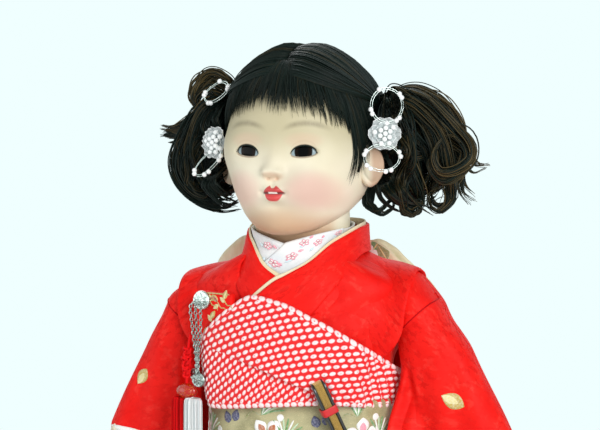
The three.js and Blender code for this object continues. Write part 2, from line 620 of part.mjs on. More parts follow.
// Position along the strip runs from the right end at -1, round the nape at 0, to the left end at 1.
function collarPoint(along, v, distance) {
  const s = abs(along);
  const topTurn = lerp(-90, 112, s);
  const lowTurn = lerp(-90, 82, s);
  const angle = degToRad(-lerp(lowTurn, topTurn, v));
  const z = lerp(edgeLow(lowTurn)[0], edgeTop(topTurn)[0], v);
  const [x, y, height] = off(collarBody, angle, z, distance);
  return [along < 0 ? -x : x, y, height];
}
function collarStrip(grow) {
  const layer = (along) => lerp(-1.6, 1.4, smoothstep(along, -0.5, 0.5));
  const across = [-grow / 20, 0.33, 0.66, 1 + grow / 20];
  const row = (along, distance) => across.map((v) => collarPoint(along, v, layer(along) + distance));
  const grid = (distance) => range(31).map((i) => row(-1 + i / 15, distance));
  return sheet(grid(COLLAR_CLOTH + grow), grid(-grow));
}
const kimonoCollar = collarStrip(0);
const frontTurn = (angle) => (Math.atan2(-sin(angle), abs(cos(angle))) * 180) / PI;
const trimSide = (angle) => lerp(-2.6, 0.5, smoothstep(cos(angle), -0.12, 0.12));
const trimBand = band(collarBody, {
  heights: (angle) => {
    const edge = edgeTop(frontTurn(angle))[0];
    return [max(edge - 3, crossZ + GAP), edge + TRIM];
  },
  inner: (angle) => trimSide(angle) - TRIM_CLOTH,
  outer: (angle) => trimSide(angle),
  sides: 36,
});
const trimCollar = cut(trimBand, collarStrip(GAP));
const underRise = through([[-90, 1], [-25, 0.8], [0, 0.533], [30, 0], [45, -0.213], [90, -0.267]]);
const UNDER_SIDES = 36;
const underRings = range(UNDER_SIDES).map((i) => {
  const angle = turn(UNDER_SIDES, i);
  const tilt = frontTurn(angle);
  const r = lerp(1.233 * NECK_R, 1.867 * NECK_R, smoothstep(tilt, 40, -60));
  const top = [r * cos(angle), r * sin(angle) + 0.133 * NECK_R, CHIN_Z + UNDER_RISE * underRise(tilt)[0]];
  const foot = off(collarBody, angle, max(edgeTop(tilt)[0] - 3, crossZ + 1), -UNDER_SINK);
  const deep = [-UNDER_CLOTH * cos(angle), -UNDER_CLOTH * sin(angle), -UNDER_CLOTH * 0.4];
  const face = [foot, mix(foot, top, 0.55), top];
  return [...face, ...face.map((p) => add(p, deep)).reverse()];
});
const neckRoom = neckForm(2 * GAP);
const underCollar = cut(skin(underRings, true), neckRoom, torsoForm(GAP));
piece("under_collar", underCollar, underSilk);
piece("trim_collar", trimCollar, creamSilk);
piece("kimono_collar", kimonoCollar, redSilk);

// Kimono body: one garment from the hem to the neck, open in a V under the collar
const hemAt = (angle) => HEM + HEM_RISE * smoothstep(-sin(angle), 0.5, 0.95);
const robeTop = (angle) => min(edgeLow(frontTurn(angle))[0] + 2, NECK_Z + 0.25 * YOKE);
const robeForm = band(robe, {
  heights: (angle) => {
    const skirt = [0, 0.12, 0.5, 1].map((f) => lerp(hemAt(angle), SASH_LOW, f));
    const chest = [0, 0.3, 0.52, 0.7, 0.86, 1].map((f) => lerp(SASH_TOP, robeTop(angle), f));
    return [...skirt, ...chest];
  },
  inner: () => -CLOTH,
  outer: () => 0,
});
const pinHoles = [pinForm(GAP), mirrored(pinForm(GAP))];
const kimonoBody = cut(insideArms(robeForm, ARM_PLANE), ...pinHoles, collarStrip(GAP));
piece("kimono_body", kimonoBody, redSilk);

// Legs, socks and sandals
const kneeZ = lerp(ANKLE_Z, HIP_Z, 0.35);
const legRows = [[ANKLE_Z + GAP, ANKLE_R, -1], [kneeZ, THIGH_R - 1.5, 0], [HIP_Z - GAP, THIGH_R, 1]];
const legForm = (grow) =>
  skin(legRows.map(([z, r, end]) => oval(z + end * grow, r + grow, r + grow, { x: STANCE, sides: 12 })));
pair("leg", legForm(0), shellWhite);
const footAt = through([
  [-FOOT_FRONT, 0.45 * FOOT_HALF, 0.3 * FOOT_TALL],
  [-FOOT_FRONT + 5, 0.85 * FOOT_HALF, 0.42 * FOOT_TALL],
  [-0.5 * FOOT_FRONT, FOOT_HALF, 0.65 * FOOT_TALL],
  [0, 0.86 * FOOT_HALF, FOOT_TALL],
  [FOOT_BACK - 4, 0.75 * FOOT_HALF, FOOT_TALL],
  [FOOT_BACK, 0.4 * FOOT_HALF, 0.8 * FOOT_TALL],
]);
const toeRows = [-FOOT_FRONT, -FOOT_FRONT + 5, -0.7 * FOOT_FRONT, -0.4 * FOOT_FRONT];
const footRows = [...toeRows, 0, FOOT_BACK - 4, FOOT_BACK];
const foot = skin(footRows.map((y) => {
  const [half, tall] = footAt(y);
  const middle = SOLE + GAP + tall / 2;
  return oval(0, half, tall / 2, { sides: 8, square: 2.6 }).map(([x, h]) => [STANCE + x, y, middle + h]);
}));
const ankle = rod(ANKLE_R + 0.8, [STANCE, 0, SOLE + 0.6 * FOOT_TALL], [STANCE, 0, ANKLE_Z], 10);
const slitX = STANCE - 0.2 * FOOT_HALF;
const slit = new THREE.BoxGeometry(TOE_SLIT, 0.35 * FOOT_FRONT, FOOT_TALL)
  .translate(slitX, -FOOT_FRONT, SOLE + FOOT_TALL / 2 - 1);
function strapForm(grow) {
  const post = [slitX, -0.72 * FOOT_FRONT, SOLE + GAP];
  const knot = [slitX, -0.72 * FOOT_FRONT, SOLE + 0.66 * FOOT_TALL];
  const arm = (side) => {
    const half = FOOT_HALF + STRAP_R + GAP;
    const path = [
      knot,
      [STANCE + side * 0.7 * half, -0.4 * FOOT_FRONT, SOLE + 0.62 * FOOT_TALL],
      [STANCE + side * half, -0.05 * FOOT_FRONT, SOLE + GAP + STRAP_R],
    ];
    return tube(path, () => STRAP_R + grow, { steps: 4, sides: 5 });
  };
  return join(rod(STRAP_R + grow, post, knot, 5), arm(-1), arm(1));
}
const sock = cut(join(foot, ankle), slit, strapForm(GAP), beyond([0, 0, SOLE + GAP], [0, 0, -1]));
pair("sock", sock, whiteCotton);
const sandalLong = FOOT_FRONT + FOOT_BACK + 2 * SANDAL_EDGE;
const sandalRing = (z, grow) =>
  oval(z, FOOT_HALF + SANDAL_EDGE - grow, sandalLong / 2 - grow, {
    x: STANCE,
    y: (FOOT_BACK - FOOT_FRONT) / 2,
    sides: 16,
    square: 2.6,
  });
const sandalRows = [[0, 0.6], [0.8, 0], [SOLE - 0.8, 0], [SOLE, 0.6]];
pair("sandal", skin(sandalRows.map(([z, grow]) => sandalRing(z, grow))), redSilk);
pair("sandal_strap", cut(strapForm(0), beyond([0, 0, SOLE + GAP], [0, 0, -1])), brocade);

// Under-robe: fills the space between the torso, the legs and the kimono
const underLow = ANKLE_Z + 2;
const underTop = ARM_Z + 0.4 * YOKE;
const underRobe = skin(range(7).map((i) => {
  const z = lerp(underLow, underTop, i / 6);
  return range(18).map((k) => off(robe, turn(18, k), z, -CLOTH - 5 * GAP));
}));
const legRoom = [legForm(GAP), mirrored(legForm(GAP))];
const underBody = insideArms(underRobe, ARM_PLANE - CLOTH);
const bodyRoom = [torsoForm(GAP), ...legRoom, ...pinHoles, pegForm(GAP), neckRoom];
piece("under_robe", cut(underBody, ...bodyRoom), underSilk);

// Sash, bustle cloth over its upper edge, and the cord that holds the fan
const sashOut = GAP + SASH_WALL;
piece("sash", band(robe, {
  heights: () => [SASH_LOW, SASH_TOP],
  inner: () => GAP,
  outer: () => sashOut,
}), brocade);

const seatAngle = degToRad(FAN_ANGLE);
const seatZ = SASH_LOW + FAN_SEAT;
const seatPoint = off(robe, seatAngle, seatZ, sashOut + 4 * GAP + FAN_DEEP / 2);
const fanOut = new THREE.Vector3(...add(seatPoint, robe(seatAngle, seatZ), -1)).setZ(0).normalize();
const fanAcross = new THREE.Vector3(0, 0, 1).cross(fanOut);
const fanUp = new THREE.Vector3(0, 0, 1).applyAxisAngle(fanAcross, degToRad(FAN_TILT));
fanUp.applyAxisAngle(fanOut, degToRad(FAN_LEAN)).normalize();
const fanSide = new THREE.Vector3().crossVectors(fanOut, fanUp).normalize();
const fanFace = new THREE.Vector3().crossVectors(fanUp, fanSide);
const fanFrame = new THREE.Matrix4().makeBasis(fanSide, fanFace, fanUp).setPosition(...seatPoint);
const onFan = (geometry) => geometry.applyMatrix4(fanFrame);
const fanWide = FAN_LEAF + 2 * FAN_GUARD + 2 * GAP;
const fanRoom = onFan(
  new THREE.BoxGeometry(
    fanWide + 2 * (FAN_BAND_WALL + 2 * GAP),
    FAN_DEEP + 2 * (FAN_BAND_WALL + 2 * GAP),
    FAN_LONG + FAN_TRAVEL + 2 * GAP,
  ).translate(0, 0, FAN_ABOVE + (FAN_TRAVEL - FAN_LONG) / 2),
);

const caseTurn = new THREE.Matrix4().makeRotationZ(degToRad(-CASE_TURN));
const caseZ = SASH_TOP + CASE_TOP - CASE_TALL / 2;
caseTurn.setPosition(CASE_IN - WAIST_HALF, CASE_SINK - WAIST_DEPTH, caseZ);
const onCase = (geometry) => geometry.applyMatrix4(caseTurn);
const caseForm = (grow, lift = 0) =>
  onCase(
    new THREE.BoxGeometry(CASE_WIDE + 2 * grow, CASE_THICK + 2 * grow, CASE_TALL + lift + 2 * grow)
      .translate(0, 0, lift / 2),
  );

// Share of the bustle cloth's height over the sash, by degrees round the doll from its left
const bustleEdge = through([
  [-190, 0.424], [-180, 0.424], [-150, 0.525], [-125, 0.83], [-105, 1], [-75, 0.797], [-47, 0.61],
  [-12, 0.373], [20, 0.305], [90, 0.305], [150, 0.356], [180, 0.424],
]);
const degreesOf = (angle) => (((((angle * 180) / PI + 190) % 360) + 360) % 360) - 190;
const bustleFoot = (angle) => lerp(0.9, COLLAR_STANDS + 3.9, smoothstep(-sin(angle), 0.45, 0.8));
const bustleOut = (angle, v) => bustleFoot(angle) + BUSTLE * (0.35 + 0.65 * Math.sqrt(1 - (2 * v - 1) ** 2));
const bustleZ = (angle, v) => SASH_TOP + lerp(GAP, BUSTLE_RISE * bustleEdge(degreesOf(angle))[0], v);
const bustleForm = band(robe, {
  heights: (angle) => [0, 0.25, 0.75, 1].map((v) => bustleZ(angle, v)),
  inner: bustleFoot,
  outer: bustleOut,
});
const bustle = cut(bustleForm, fanRoom, caseForm(2 * GAP, CASE_LIFT));
piece("bustle_cloth", insideArms(bustle, ARM_PLANE - 2 * GAP), dyedSilk);

const cordZ = SASH_LOW + CORD_HEIGHT;
const cordOver = (angle) => {
  const fanDrop = (seatZ - cordZ) / cos(degToRad(FAN_LEAN));
  const under = add(seatPoint, fanUp.toArray(), -fanDrop);
  const crossing = Math.atan2(under[1] / WAIST_DEPTH, under[0] / WAIST_HALF);
  return (FAN_DEEP + 4) * smoothstep(cos(angle - crossing), 0.86, 0.975);
};
const cordPath = range(36).map((i) => {
  const angle = turn(36, i);
  return off(robe, angle, cordZ, sashOut + GAP + CORD_R + cordOver(angle));
});
const cord = cut(tube(cordPath, () => CORD_R, { steps: 36, sides: 5, closed: true }), fanRoom);
const knotY = off(robe, -PI / 2, cordZ, sashOut + GAP)[1];
const knot = ball(CORD_KNOT / 2, [0, knotY - CORD_KNOT * 0.34, cordZ], [1.1, 0.66, 1]);
piece("sash_cord", join(cord, knot), redThread);

// Fan: folded leaf between two guards, a paper band and the rivet at the lower end
const fanMiddle = FAN_ABOVE - FAN_LONG / 2;
const rivetZ = FAN_ABOVE - FAN_LONG + RIVET_FROM;
const rivetRoom = rod(RIVET_R + GAP, [-fanWide, 0, rivetZ], [fanWide, 0, rivetZ], 10);
const leafBlock = new THREE.BoxGeometry(FAN_LEAF, FAN_DEEP, FAN_LONG).translate(0, 0, fanMiddle);
const guardBlock = new THREE.BoxGeometry(FAN_GUARD, FAN_DEEP, FAN_LONG).translate(
  FAN_LEAF / 2 + GAP + FAN_GUARD / 2,
  0,
  fanMiddle,
);
piece("fan_leaf", onFan(cut(leafBlock, rivetRoom)), goldPaper);
piece("fan_left_guard", onFan(cut(guardBlock, rivetRoom)), blackLacquer);
piece("fan_right_guard", onFan(cut(mirrored(guardBlock), rivetRoom)), blackLacquer);
const rivetEnd = fanWide / 2 + 0.3;
piece("fan_rivet", onFan(rod(RIVET_R, [-rivetEnd, 0, rivetZ], [rivetEnd, 0, rivetZ], 10)), silver);
const bandZ = FAN_ABOVE - FAN_BAND_FROM;
const bandBox = (grow, tall) =>
  new THREE.BoxGeometry(fanWide + 2 * grow, FAN_DEEP + 2 * grow, tall).translate(0, 0, bandZ);
const paperBand = cut(bandBox(GAP + FAN_BAND_WALL, FAN_BAND), bandBox(GAP, 2 * FAN_BAND));
piece("fan_band", onFan(paperBand), redPaper);

// Bow at the back: two loop wings beside a knot, and the hanging tail
const bustleBack = off(robe, PI / 2, SASH_TOP + 8, bustleFoot(PI / 2) + BUSTLE)[1];
const knotBackY = bustleBack + GAP;
const bowY = knotBackY + KNOT_DEPTH / 2;
const bowZ = SASH_TOP + BOW_RISE;
const wingTop = through([
  [KNOT_HALF, BOW_RISE + 14], [0.36 * BOW_REACH, 0.73 * BOW_TOP], [0.6 * BOW_REACH, BOW_TOP],
  [0.83 * BOW_REACH, 0.85 * BOW_TOP], [BOW_REACH, 0.67 * BOW_TOP],
]);
const wingLow = through([
  [KNOT_HALF, BOW_RISE - 16], [0.36 * BOW_REACH, -0.5 * BOW_LOW], [0.6 * BOW_REACH, -BOW_LOW],
  [0.83 * BOW_REACH, -1.2 * BOW_LOW], [BOW_REACH, -BOW_LOW],
]);
const wingRings = range(22).map((i) => {
  const t = turn(22, i);
  const wingStart = KNOT_HALF + GAP + BOW_WALL / 2;
  const half = (BOW_REACH - wingStart) / 2;
  const x = wingStart + half * (1 + cos(t));
  const pinch = smoothstep(x, KNOT_HALF, 0.5 * BOW_REACH);
  const at = (v, distance) => {
    const fold = BOW_FOLD * (1 - pinch) * cos(6 * PI * v);
    const swell = lerp(0.55, 1, pinch) * (0.85 + 0.15 * sin(PI * v));
    const y = bowY + (BOW_LOOP * swell + distance) * sin(t) + fold;
    return [x + distance * cos(t), y, SASH_TOP + lerp(wingLow(x)[0], wingTop(x)[0], v)];
  };
  const levels = [0, 0.33, 0.67, 1];
  const outer = levels.map((v) => at(v, BOW_WALL / 2));
  const inner = levels.map((v) => at(v, -BOW_WALL / 2));
  return [...outer, ...inner.reverse()];
});
pair("bow_wing", skin(wingRings, true), brocade);
const knotRows = [-1, -0.8, 0, 0.8, 1];
const bowKnot = skin(knotRows.map((f) => {
  const pull = 1 - 0.22 * f ** 4;
  const form = { y: bowY, sides: 18, square: 3 };
  return oval(bowZ + (f * KNOT_HIGH) / 2, KNOT_HALF * pull, (KNOT_DEPTH / 2) * pull, form);
}));
piece("bow_knot", bowKnot, brocade);
const tailTop = bowZ - KNOT_HIGH / 2 - GAP;
const sashBack = off(robe, PI / 2, SASH_TOP - 10, sashOut)[1];
const tailY = sashBack + 2 * (CORD_R + GAP) + TAIL_WAVE + TAIL_CLOTH + GAP;
const tailPoint = (u, v, distance) => {
  const flare = lerp(0.55, 1, smoothstep(v, 0, 0.6));
  const wave = TAIL_WAVE * v * cos(2 * PI * u);
  return [TAIL_HALF * flare * (2 * u - 1), tailY + wave + distance + 2 * (1 - v), tailTop - TAIL_LONG * v];
};
const tailGrid = (distance) =>
  range(9).map((i) => range(7).map((k) => tailPoint(i / 8, k / 6, distance)));
piece("bow_tail", sheet(tailGrid(TAIL_CLOTH), tailGrid(-TAIL_CLOTH)), brocade);

// Arms: stuffed upper arm on its pin, forearm with the hand, and the hanging sleeve
const armDown = new THREE.Vector3(0, 0, -1)
  .applyAxisAngle(new THREE.Vector3(0, 1, 0), -degToRad(ARM_SPREAD))
  .applyAxisAngle(new THREE.Vector3(1, 0, 0), -degToRad(ARM_FORWARD))
  .toArray();
const armTop = [ARM_PLANE + GAP + 1.067 * ARM_R, 0, ARM_Z];
const elbow = add(armTop, armDown, UPPER_ARM);
const wrist = add(elbow, armDown, FOREARM);
const upperArmForm = (grow) => {
  const arm = tube([armTop, elbow], (t) => ARM_R * lerp(1, 0.844, t) + grow, { steps: 1, sides: 10 });
  return join(ball(ARM_R + grow, armTop), arm);
};
const forearmTop = add(elbow, armDown, GAP);
const forearmForm = (grow) => {
  const radius = (t) => lerp(0.822 * ARM_R, WRIST_R, t) + grow;
  const arm = tube([forearmTop, wrist], radius, { steps: 1, sides: 10 });
  const palm = ball(HAND / 2 + grow, add(wrist, armDown, 0.42 * HAND), [0.36, 0.5, 1]);
  return join(arm, palm);
};
const thumbRoot = add(wrist, armDown, 0.2 * HAND);
const thumbStations = [[0, 0.33], [0.2, 0.9], [0.45, 1]];
const thumbPath = thumbStations.map(([f, out]) => {
  const along = add(thumbRoot, armDown, f * HAND);
  return add(along, [0, -out * THUMB_OUT, 0]);
});
const thumbForm = (grow) => tube(thumbPath, (t) => THUMB_R * lerp(1, 0.64, t) + grow, { steps: 4, sides: 6 });
pair("upper_arm", cut(upperArmForm(0), pinForm(GAP)), whiteCotton);
pair("forearm", join(forearmForm(0), thumbForm(0)), shellWhite);

// Sleeve by height from the arms' axis: inner and outer edge as shares of its width, and half-thickness
const sleeveAt = through([
  [-SLEEVE_DROP, 0.86, 0.907, 0.35 * SLEEVE_BAG],
  [-0.96 * SLEEVE_DROP, 0.744, 0.942, 0.6 * SLEEVE_BAG],
  [-0.86 * SLEEVE_DROP, 0.419, 0.965, 0.85 * SLEEVE_BAG],
  [-0.74 * SLEEVE_DROP, 0.14, 0.988, SLEEVE_BAG],
  [-0.6 * SLEEVE_DROP, 0.116, 1, SLEEVE_BAG],
  [-0.43 * SLEEVE_DROP, 0.14, 1.023, 1.15 * SLEEVE_BAG],
  [-0.385 * SLEEVE_DROP, 0.14, 1.186, 1.3 * SLEEVE_BAG],
  [-0.356 * SLEEVE_DROP, 0.14, 1.314, 1.4 * SLEEVE_BAG],
  [-0.32 * SLEEVE_DROP, 0.13, 1.256, 1.5 * SLEEVE_BAG],
  [-0.2 * SLEEVE_DROP, 0.088, 0.953, 0.8 * SLEEVE_THICK],
  [-0.125 * SLEEVE_DROP, 0.023, 0.767, 0.87 * SLEEVE_THICK],
  [-0.05 * SLEEVE_DROP, -0.07, 0.581, SLEEVE_THICK],
  [0, -0.14, 0.488, SLEEVE_THICK],
  [0.4 * YOKE, -0.14, 0.349, 0.86 * SLEEVE_THICK],
  [0.7 * YOKE, -0.14, 0.233, 0.6 * SLEEVE_THICK],
  [0.86 * YOKE, -0.14, 0.14, 0.3 * SLEEVE_THICK],
]);
const sleeveRows = [-1, -0.96, -0.86, -0.74, -0.6, -0.43, -0.356, -0.32, -0.2, -0.125];
const sleeveHeights = [...sleeveRows.map((f) => f * SLEEVE_DROP), 0, 0.4 * YOKE, 0.7 * YOKE, 0.86 * YOKE];
const sleeveForm = skin(sleeveHeights.map((height) => {
  const [inside, outside, half] = sleeveAt(height);
  const upper = smoothstep(-height, 0.3 * SLEEVE_DROP, 0.6 * SLEEVE_DROP);
  const hang = upper * smoothstep(height, -SLEEVE_DROP, -0.8 * SLEEVE_DROP);
  const form = { x: ARM_PLANE + (SLEEVE_WIDE * (inside + outside)) / 2, sides: 16, square: 2.5 };
  const ring = oval(ARM_Z + height, (SLEEVE_WIDE * (outside - inside)) / 2, half, form);
  const fold = (x) => SLEEVE_FOLD * hang * sin((2 * PI * (x - ARM_PLANE)) / FOLD_PITCH);
  return ring.map(([x, y, z]) => [x, y + fold(x), z]);
}));
const bodySide = beyond([ARM_PLANE + GAP, 0, 0], [-1, 0, 0]);
const armRoom = [upperArmForm(GAP), forearmForm(GAP), thumbForm(GAP), pinForm(GAP)];
pair("sleeve", cut(sleeveForm, bodySide, ...armRoom), redSilk);

// Pocket case with its silver boss and chains, and the tassels on their cord
piece("pocket_case", caseForm(0), redSilk);
const bossX = -CASE_WIDE / 2 + BOSS_IN;
const caseFront = -CASE_THICK / 2 - GAP;
const bossZ = CASE_TALL / 2 - BOSS_R;
const dome = range(4).map((i) => {
  const t = (i / 4) * (PI / 2);
  return oval(BOSS_HIGH * sin(t), BOSS_R * cos(t), BOSS_R * 1.1 * cos(t), { sides: 16 });
});
const boss = skin(dome).rotateX(PI / 2).translate(bossX, caseFront, bossZ);
piece("silver_boss", onCase(boss), silver);
const chainTop = bossZ - 1.1 * BOSS_R - GAP - CHAIN_R;
const fromCase = caseTurn.clone().invert();
const bustleBeside = range(20).flatMap((i) => {
  const angle = degToRad(lerp(-170, -110, i / 19));
  const rows = range(9).map((k) => off(robe, angle, bustleZ(angle, k / 8), bustleOut(angle, k / 8)));
  return rows.map((p) => new THREE.Vector3(...p).applyMatrix4(fromCase));
});
const nearChains = bustleBeside.filter((p) => abs(p.x - bossX) < CHAIN_SPREAD + CHAIN_R);
const chainY = min(...nearChains.map((p) => p.y), caseFront - BOSS_HIGH) - CHAIN_R;
const hookY = caseFront - CHAIN_R;
const strandStations = [[1, 0, 0], [1, 1, 0.05], [0.8, 1, 0.3], [0, 1, 0.75], [0, 1, 1]];
const strand = (shift) => {
  const path = strandStations.map(([side, out, f]) => {
    return [bossX + side * shift, lerp(hookY, chainY, out), chainTop - f * CHAIN_LONG];
  });
  return tube(path, () => CHAIN_R, { steps: 9, sides: 4 });
};
const barHalf = CHAIN_SPREAD + GAP;
const chainBar = rod(CHAIN_R, [bossX - barHalf, hookY, chainTop], [bossX + barHalf, hookY, chainTop], 6);
piece("silver_chains", onCase(join(chainBar, ...[-1, 0, 1].map((k) => strand(k * CHAIN_SPREAD)))), silver);
const discZ = chainTop - CHAIN_LONG - DISC_R - GAP;
const disc = rod(DISC_R, [bossX, chainY - 0.5, discZ], [bossX, chainY + 0.5, discZ], 16);
piece("silver_discs", onCase(disc), silver);

const tasselX = -CASE_WIDE / 2 - 0.6;
const tasselY = chainY + 0.6;
const tasselTop = CASE_TALL / 2 - TASSEL_FROM;
const tasselPath = [
  [tasselX + 1.2, tasselY, tasselTop],
  [tasselX - 1, tasselY - 0.4, tasselTop - TASSEL_CORD / 2],
  [tasselX - 1, tasselY - 0.6, tasselTop - TASSEL_CORD],
];
const tasselCord = tube(tasselPath, (t) => 1.3 + 0.7 * sin(4 * PI * t) ** 2, { steps: 12, sides: 6 });
piece("tassel_cord", onCase(tasselCord), redThread);
const beadPoint = add(tasselPath[2], [0, 0, -GAP - 0.72 * BEAD_R]);
piece("tassel_bead", onCase(ball(BEAD_R, beadPoint, [1, 0.72, 0.72])), redThread);
function tassel(shift) {
  const top = add(beadPoint, [shift, 0, -0.72 * BEAD_R - GAP]);
  const rows = [[0, 0.45], [0.05, 0.8], [0.1, 0.62], [0.3, 0.9], [1, 1]];
  const form = { x: top[0], y: top[1], sides: 10 };
  return skin(rows.map(([f, r]) => oval(top[2] - f * TASSEL_LONG, TASSEL_R * r, TASSEL_R * r, form)));
}
piece("red_tassel", onCase(tassel(-TASSEL_R - GAP / 2)), redThread);
piece("white_tassel", onCase(tassel(TASSEL_R + GAP / 2)), whiteThread);

// The origin is under the middle of the doll's outline, on the floor
const outline = new THREE.Box3().setFromObject(doll);
const middle = outline.getCenter(new THREE.Vector3());
doll.position.set(-middle.x, -middle.y, -outline.min.z);

export default doll;
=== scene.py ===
# %% [markdown]
# # An ichimatsu doll
# A Japanese play doll, 42 cm tall, in a red long-sleeved festival kimono. Its head is coated with shell
# white, its wig is tied in two curled bunches, and its sash, bustle cloth, pocket case and fan are real small
# textiles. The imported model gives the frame: every piece below is a numpy surface in that frame, riding on
# one of its bodies.

# %% Frame
import json
import bpy
import numpy as np
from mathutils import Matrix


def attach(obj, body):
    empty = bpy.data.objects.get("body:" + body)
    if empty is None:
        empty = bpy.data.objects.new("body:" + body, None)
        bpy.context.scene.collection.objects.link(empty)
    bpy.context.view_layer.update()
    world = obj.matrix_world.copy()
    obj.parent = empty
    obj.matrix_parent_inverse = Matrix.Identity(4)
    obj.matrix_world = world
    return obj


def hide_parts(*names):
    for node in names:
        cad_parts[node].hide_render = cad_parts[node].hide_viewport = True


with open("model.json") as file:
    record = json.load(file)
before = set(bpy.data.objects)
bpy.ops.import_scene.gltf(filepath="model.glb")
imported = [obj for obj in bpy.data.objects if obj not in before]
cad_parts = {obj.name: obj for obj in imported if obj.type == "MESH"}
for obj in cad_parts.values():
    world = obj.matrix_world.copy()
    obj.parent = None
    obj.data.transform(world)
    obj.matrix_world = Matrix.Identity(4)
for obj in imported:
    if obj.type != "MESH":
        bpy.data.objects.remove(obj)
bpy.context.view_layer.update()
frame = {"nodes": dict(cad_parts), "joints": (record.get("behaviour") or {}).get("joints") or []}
neck = next(joint for joint in frame["joints"] if joint["name"] == "neck_turn")
AXIS = np.array([0.0, neck["pos_m"][1], 0.0])
MM = 0.001

# %% [markdown]
# ## Measures and curves
# The doll is worked out in millimetres round the axis of its neck, facing -Y, with its left hand on the +X
# side. A garment or a head has a profile: a few stations of height, half-width and half-depth. A smooth curve
# through the stations gives every ring between them, so one small table carries a whole form.

# %% Smooth curves
SIDES = (("left", 1), ("right", -1))
TURN_STEP, HEIGHT_STEP = 0.01, 0.5


def stations(table):
    """Cubic curve through rows of (position, value, value...), with slopes from the neighbouring rows."""
    table = np.array(table, float)
    at, values = table[:, 0], table[:, 1:]
    before = np.r_[0, np.arange(len(at) - 1)]
    after = np.r_[np.arange(1, len(at)), len(at) - 1]
    slope = (values[after] - values[before]) / (at[after] - at[before])[:, None]

    def curve(position):
        position = np.asarray(position, float)
        i = np.clip(np.searchsorted(at, position, side="right") - 1, 0, len(at) - 2)
        step = (at[i + 1] - at[i])[..., None]
        t = np.clip((position - at[i])[..., None] / step, 0, 1)
        rise = t * t * (3 - 2 * t)
        bend = t * (1 - t) * step * ((1 - t) * slope[i] - t * slope[i + 1])
        return values[i] * (1 - rise) + values[i + 1] * rise + bend

    return curve


def ramp(value, low, high):
    """Smooth step: 0 at low, 1 at high, level at both ends."""
    t = np.clip((np.asarray(value, float) - low) / (high - low), 0, 1)
    return t * t * (3 - 2 * t)


def lerp(a, b, t):
    """Straight mix of a and b."""
    return a + (b - a) * t


def unit(v):
    """Vectors divided by their own lengths."""
    return v / np.maximum(np.linalg.norm(v, axis=-1, keepdims=True), 1e-9)


def stack(*parts):
    """Coordinates of the same or a plain shape joined as the last axis."""
    return np.stack(np.broadcast_arrays(*[np.asarray(p, float) for p in parts]), axis=-1)


def bulge(x, z, at_x, at_z, wide, high):
    """Round hump of height 1 at a point, fading as exp(-d^2), with its half-width and half-height."""
    return np.exp(-(((x - at_x) / wide) ** 2) - ((z - at_z) / high) ** 2)


def hump(x, at, wide):
    """Ridge of height 1 at a place, fading as exp(-d^2) to both sides."""
    return np.exp(-(((x - at) / wide) ** 2))


def away(surface, a, b, distance):
    """Point on surface(a, b) moved along its normal, which is the cross product of its two tangents."""
    along_a = surface(a + TURN_STEP, b) - surface(a - TURN_STEP, b)
    along_b = surface(a, b + HEIGHT_STEP) - surface(a, b - HEIGHT_STEP)
    normal = unit(np.cross(along_a, along_b))
    return surface(a, b) + normal * np.asarray(distance, float)[..., None]


def once_round(count):
    """Angles evenly round a ring, as one row of a grid."""
    return np.linspace(0, 2 * np.pi, count, endpoint=False)[None]


def sphere(down, turn):
    """Directions of a ball at an angle down from its top and an angle round it."""
    return stack(np.sin(down) * np.cos(turn), np.sin(down) * np.sin(turn), np.cos(down))


def mirrored(points, side):
    """Points worked out on the doll's left, as they are for side 1 and mirrored to its right for -1."""
    return points * np.array([side, 1, 1])


dice = np.random.default_rng(7)
print("curve test:", stations([(0, 0), (1, 2), (2, 0)])(np.array([0.5, 1.0]))[:, 0])

# %% [markdown]
# ## From grids to meshes
# Each piece gathers grids of points. A cloth is two grids, its outer and its inner side, joined round the
# rim, so that it is a closed body with a real thickness. A thread or a hair is a thin tube on a path.
# foreach_set writes the whole arrays into the mesh at once, and every grid is turned so that its faces point
# outwards.

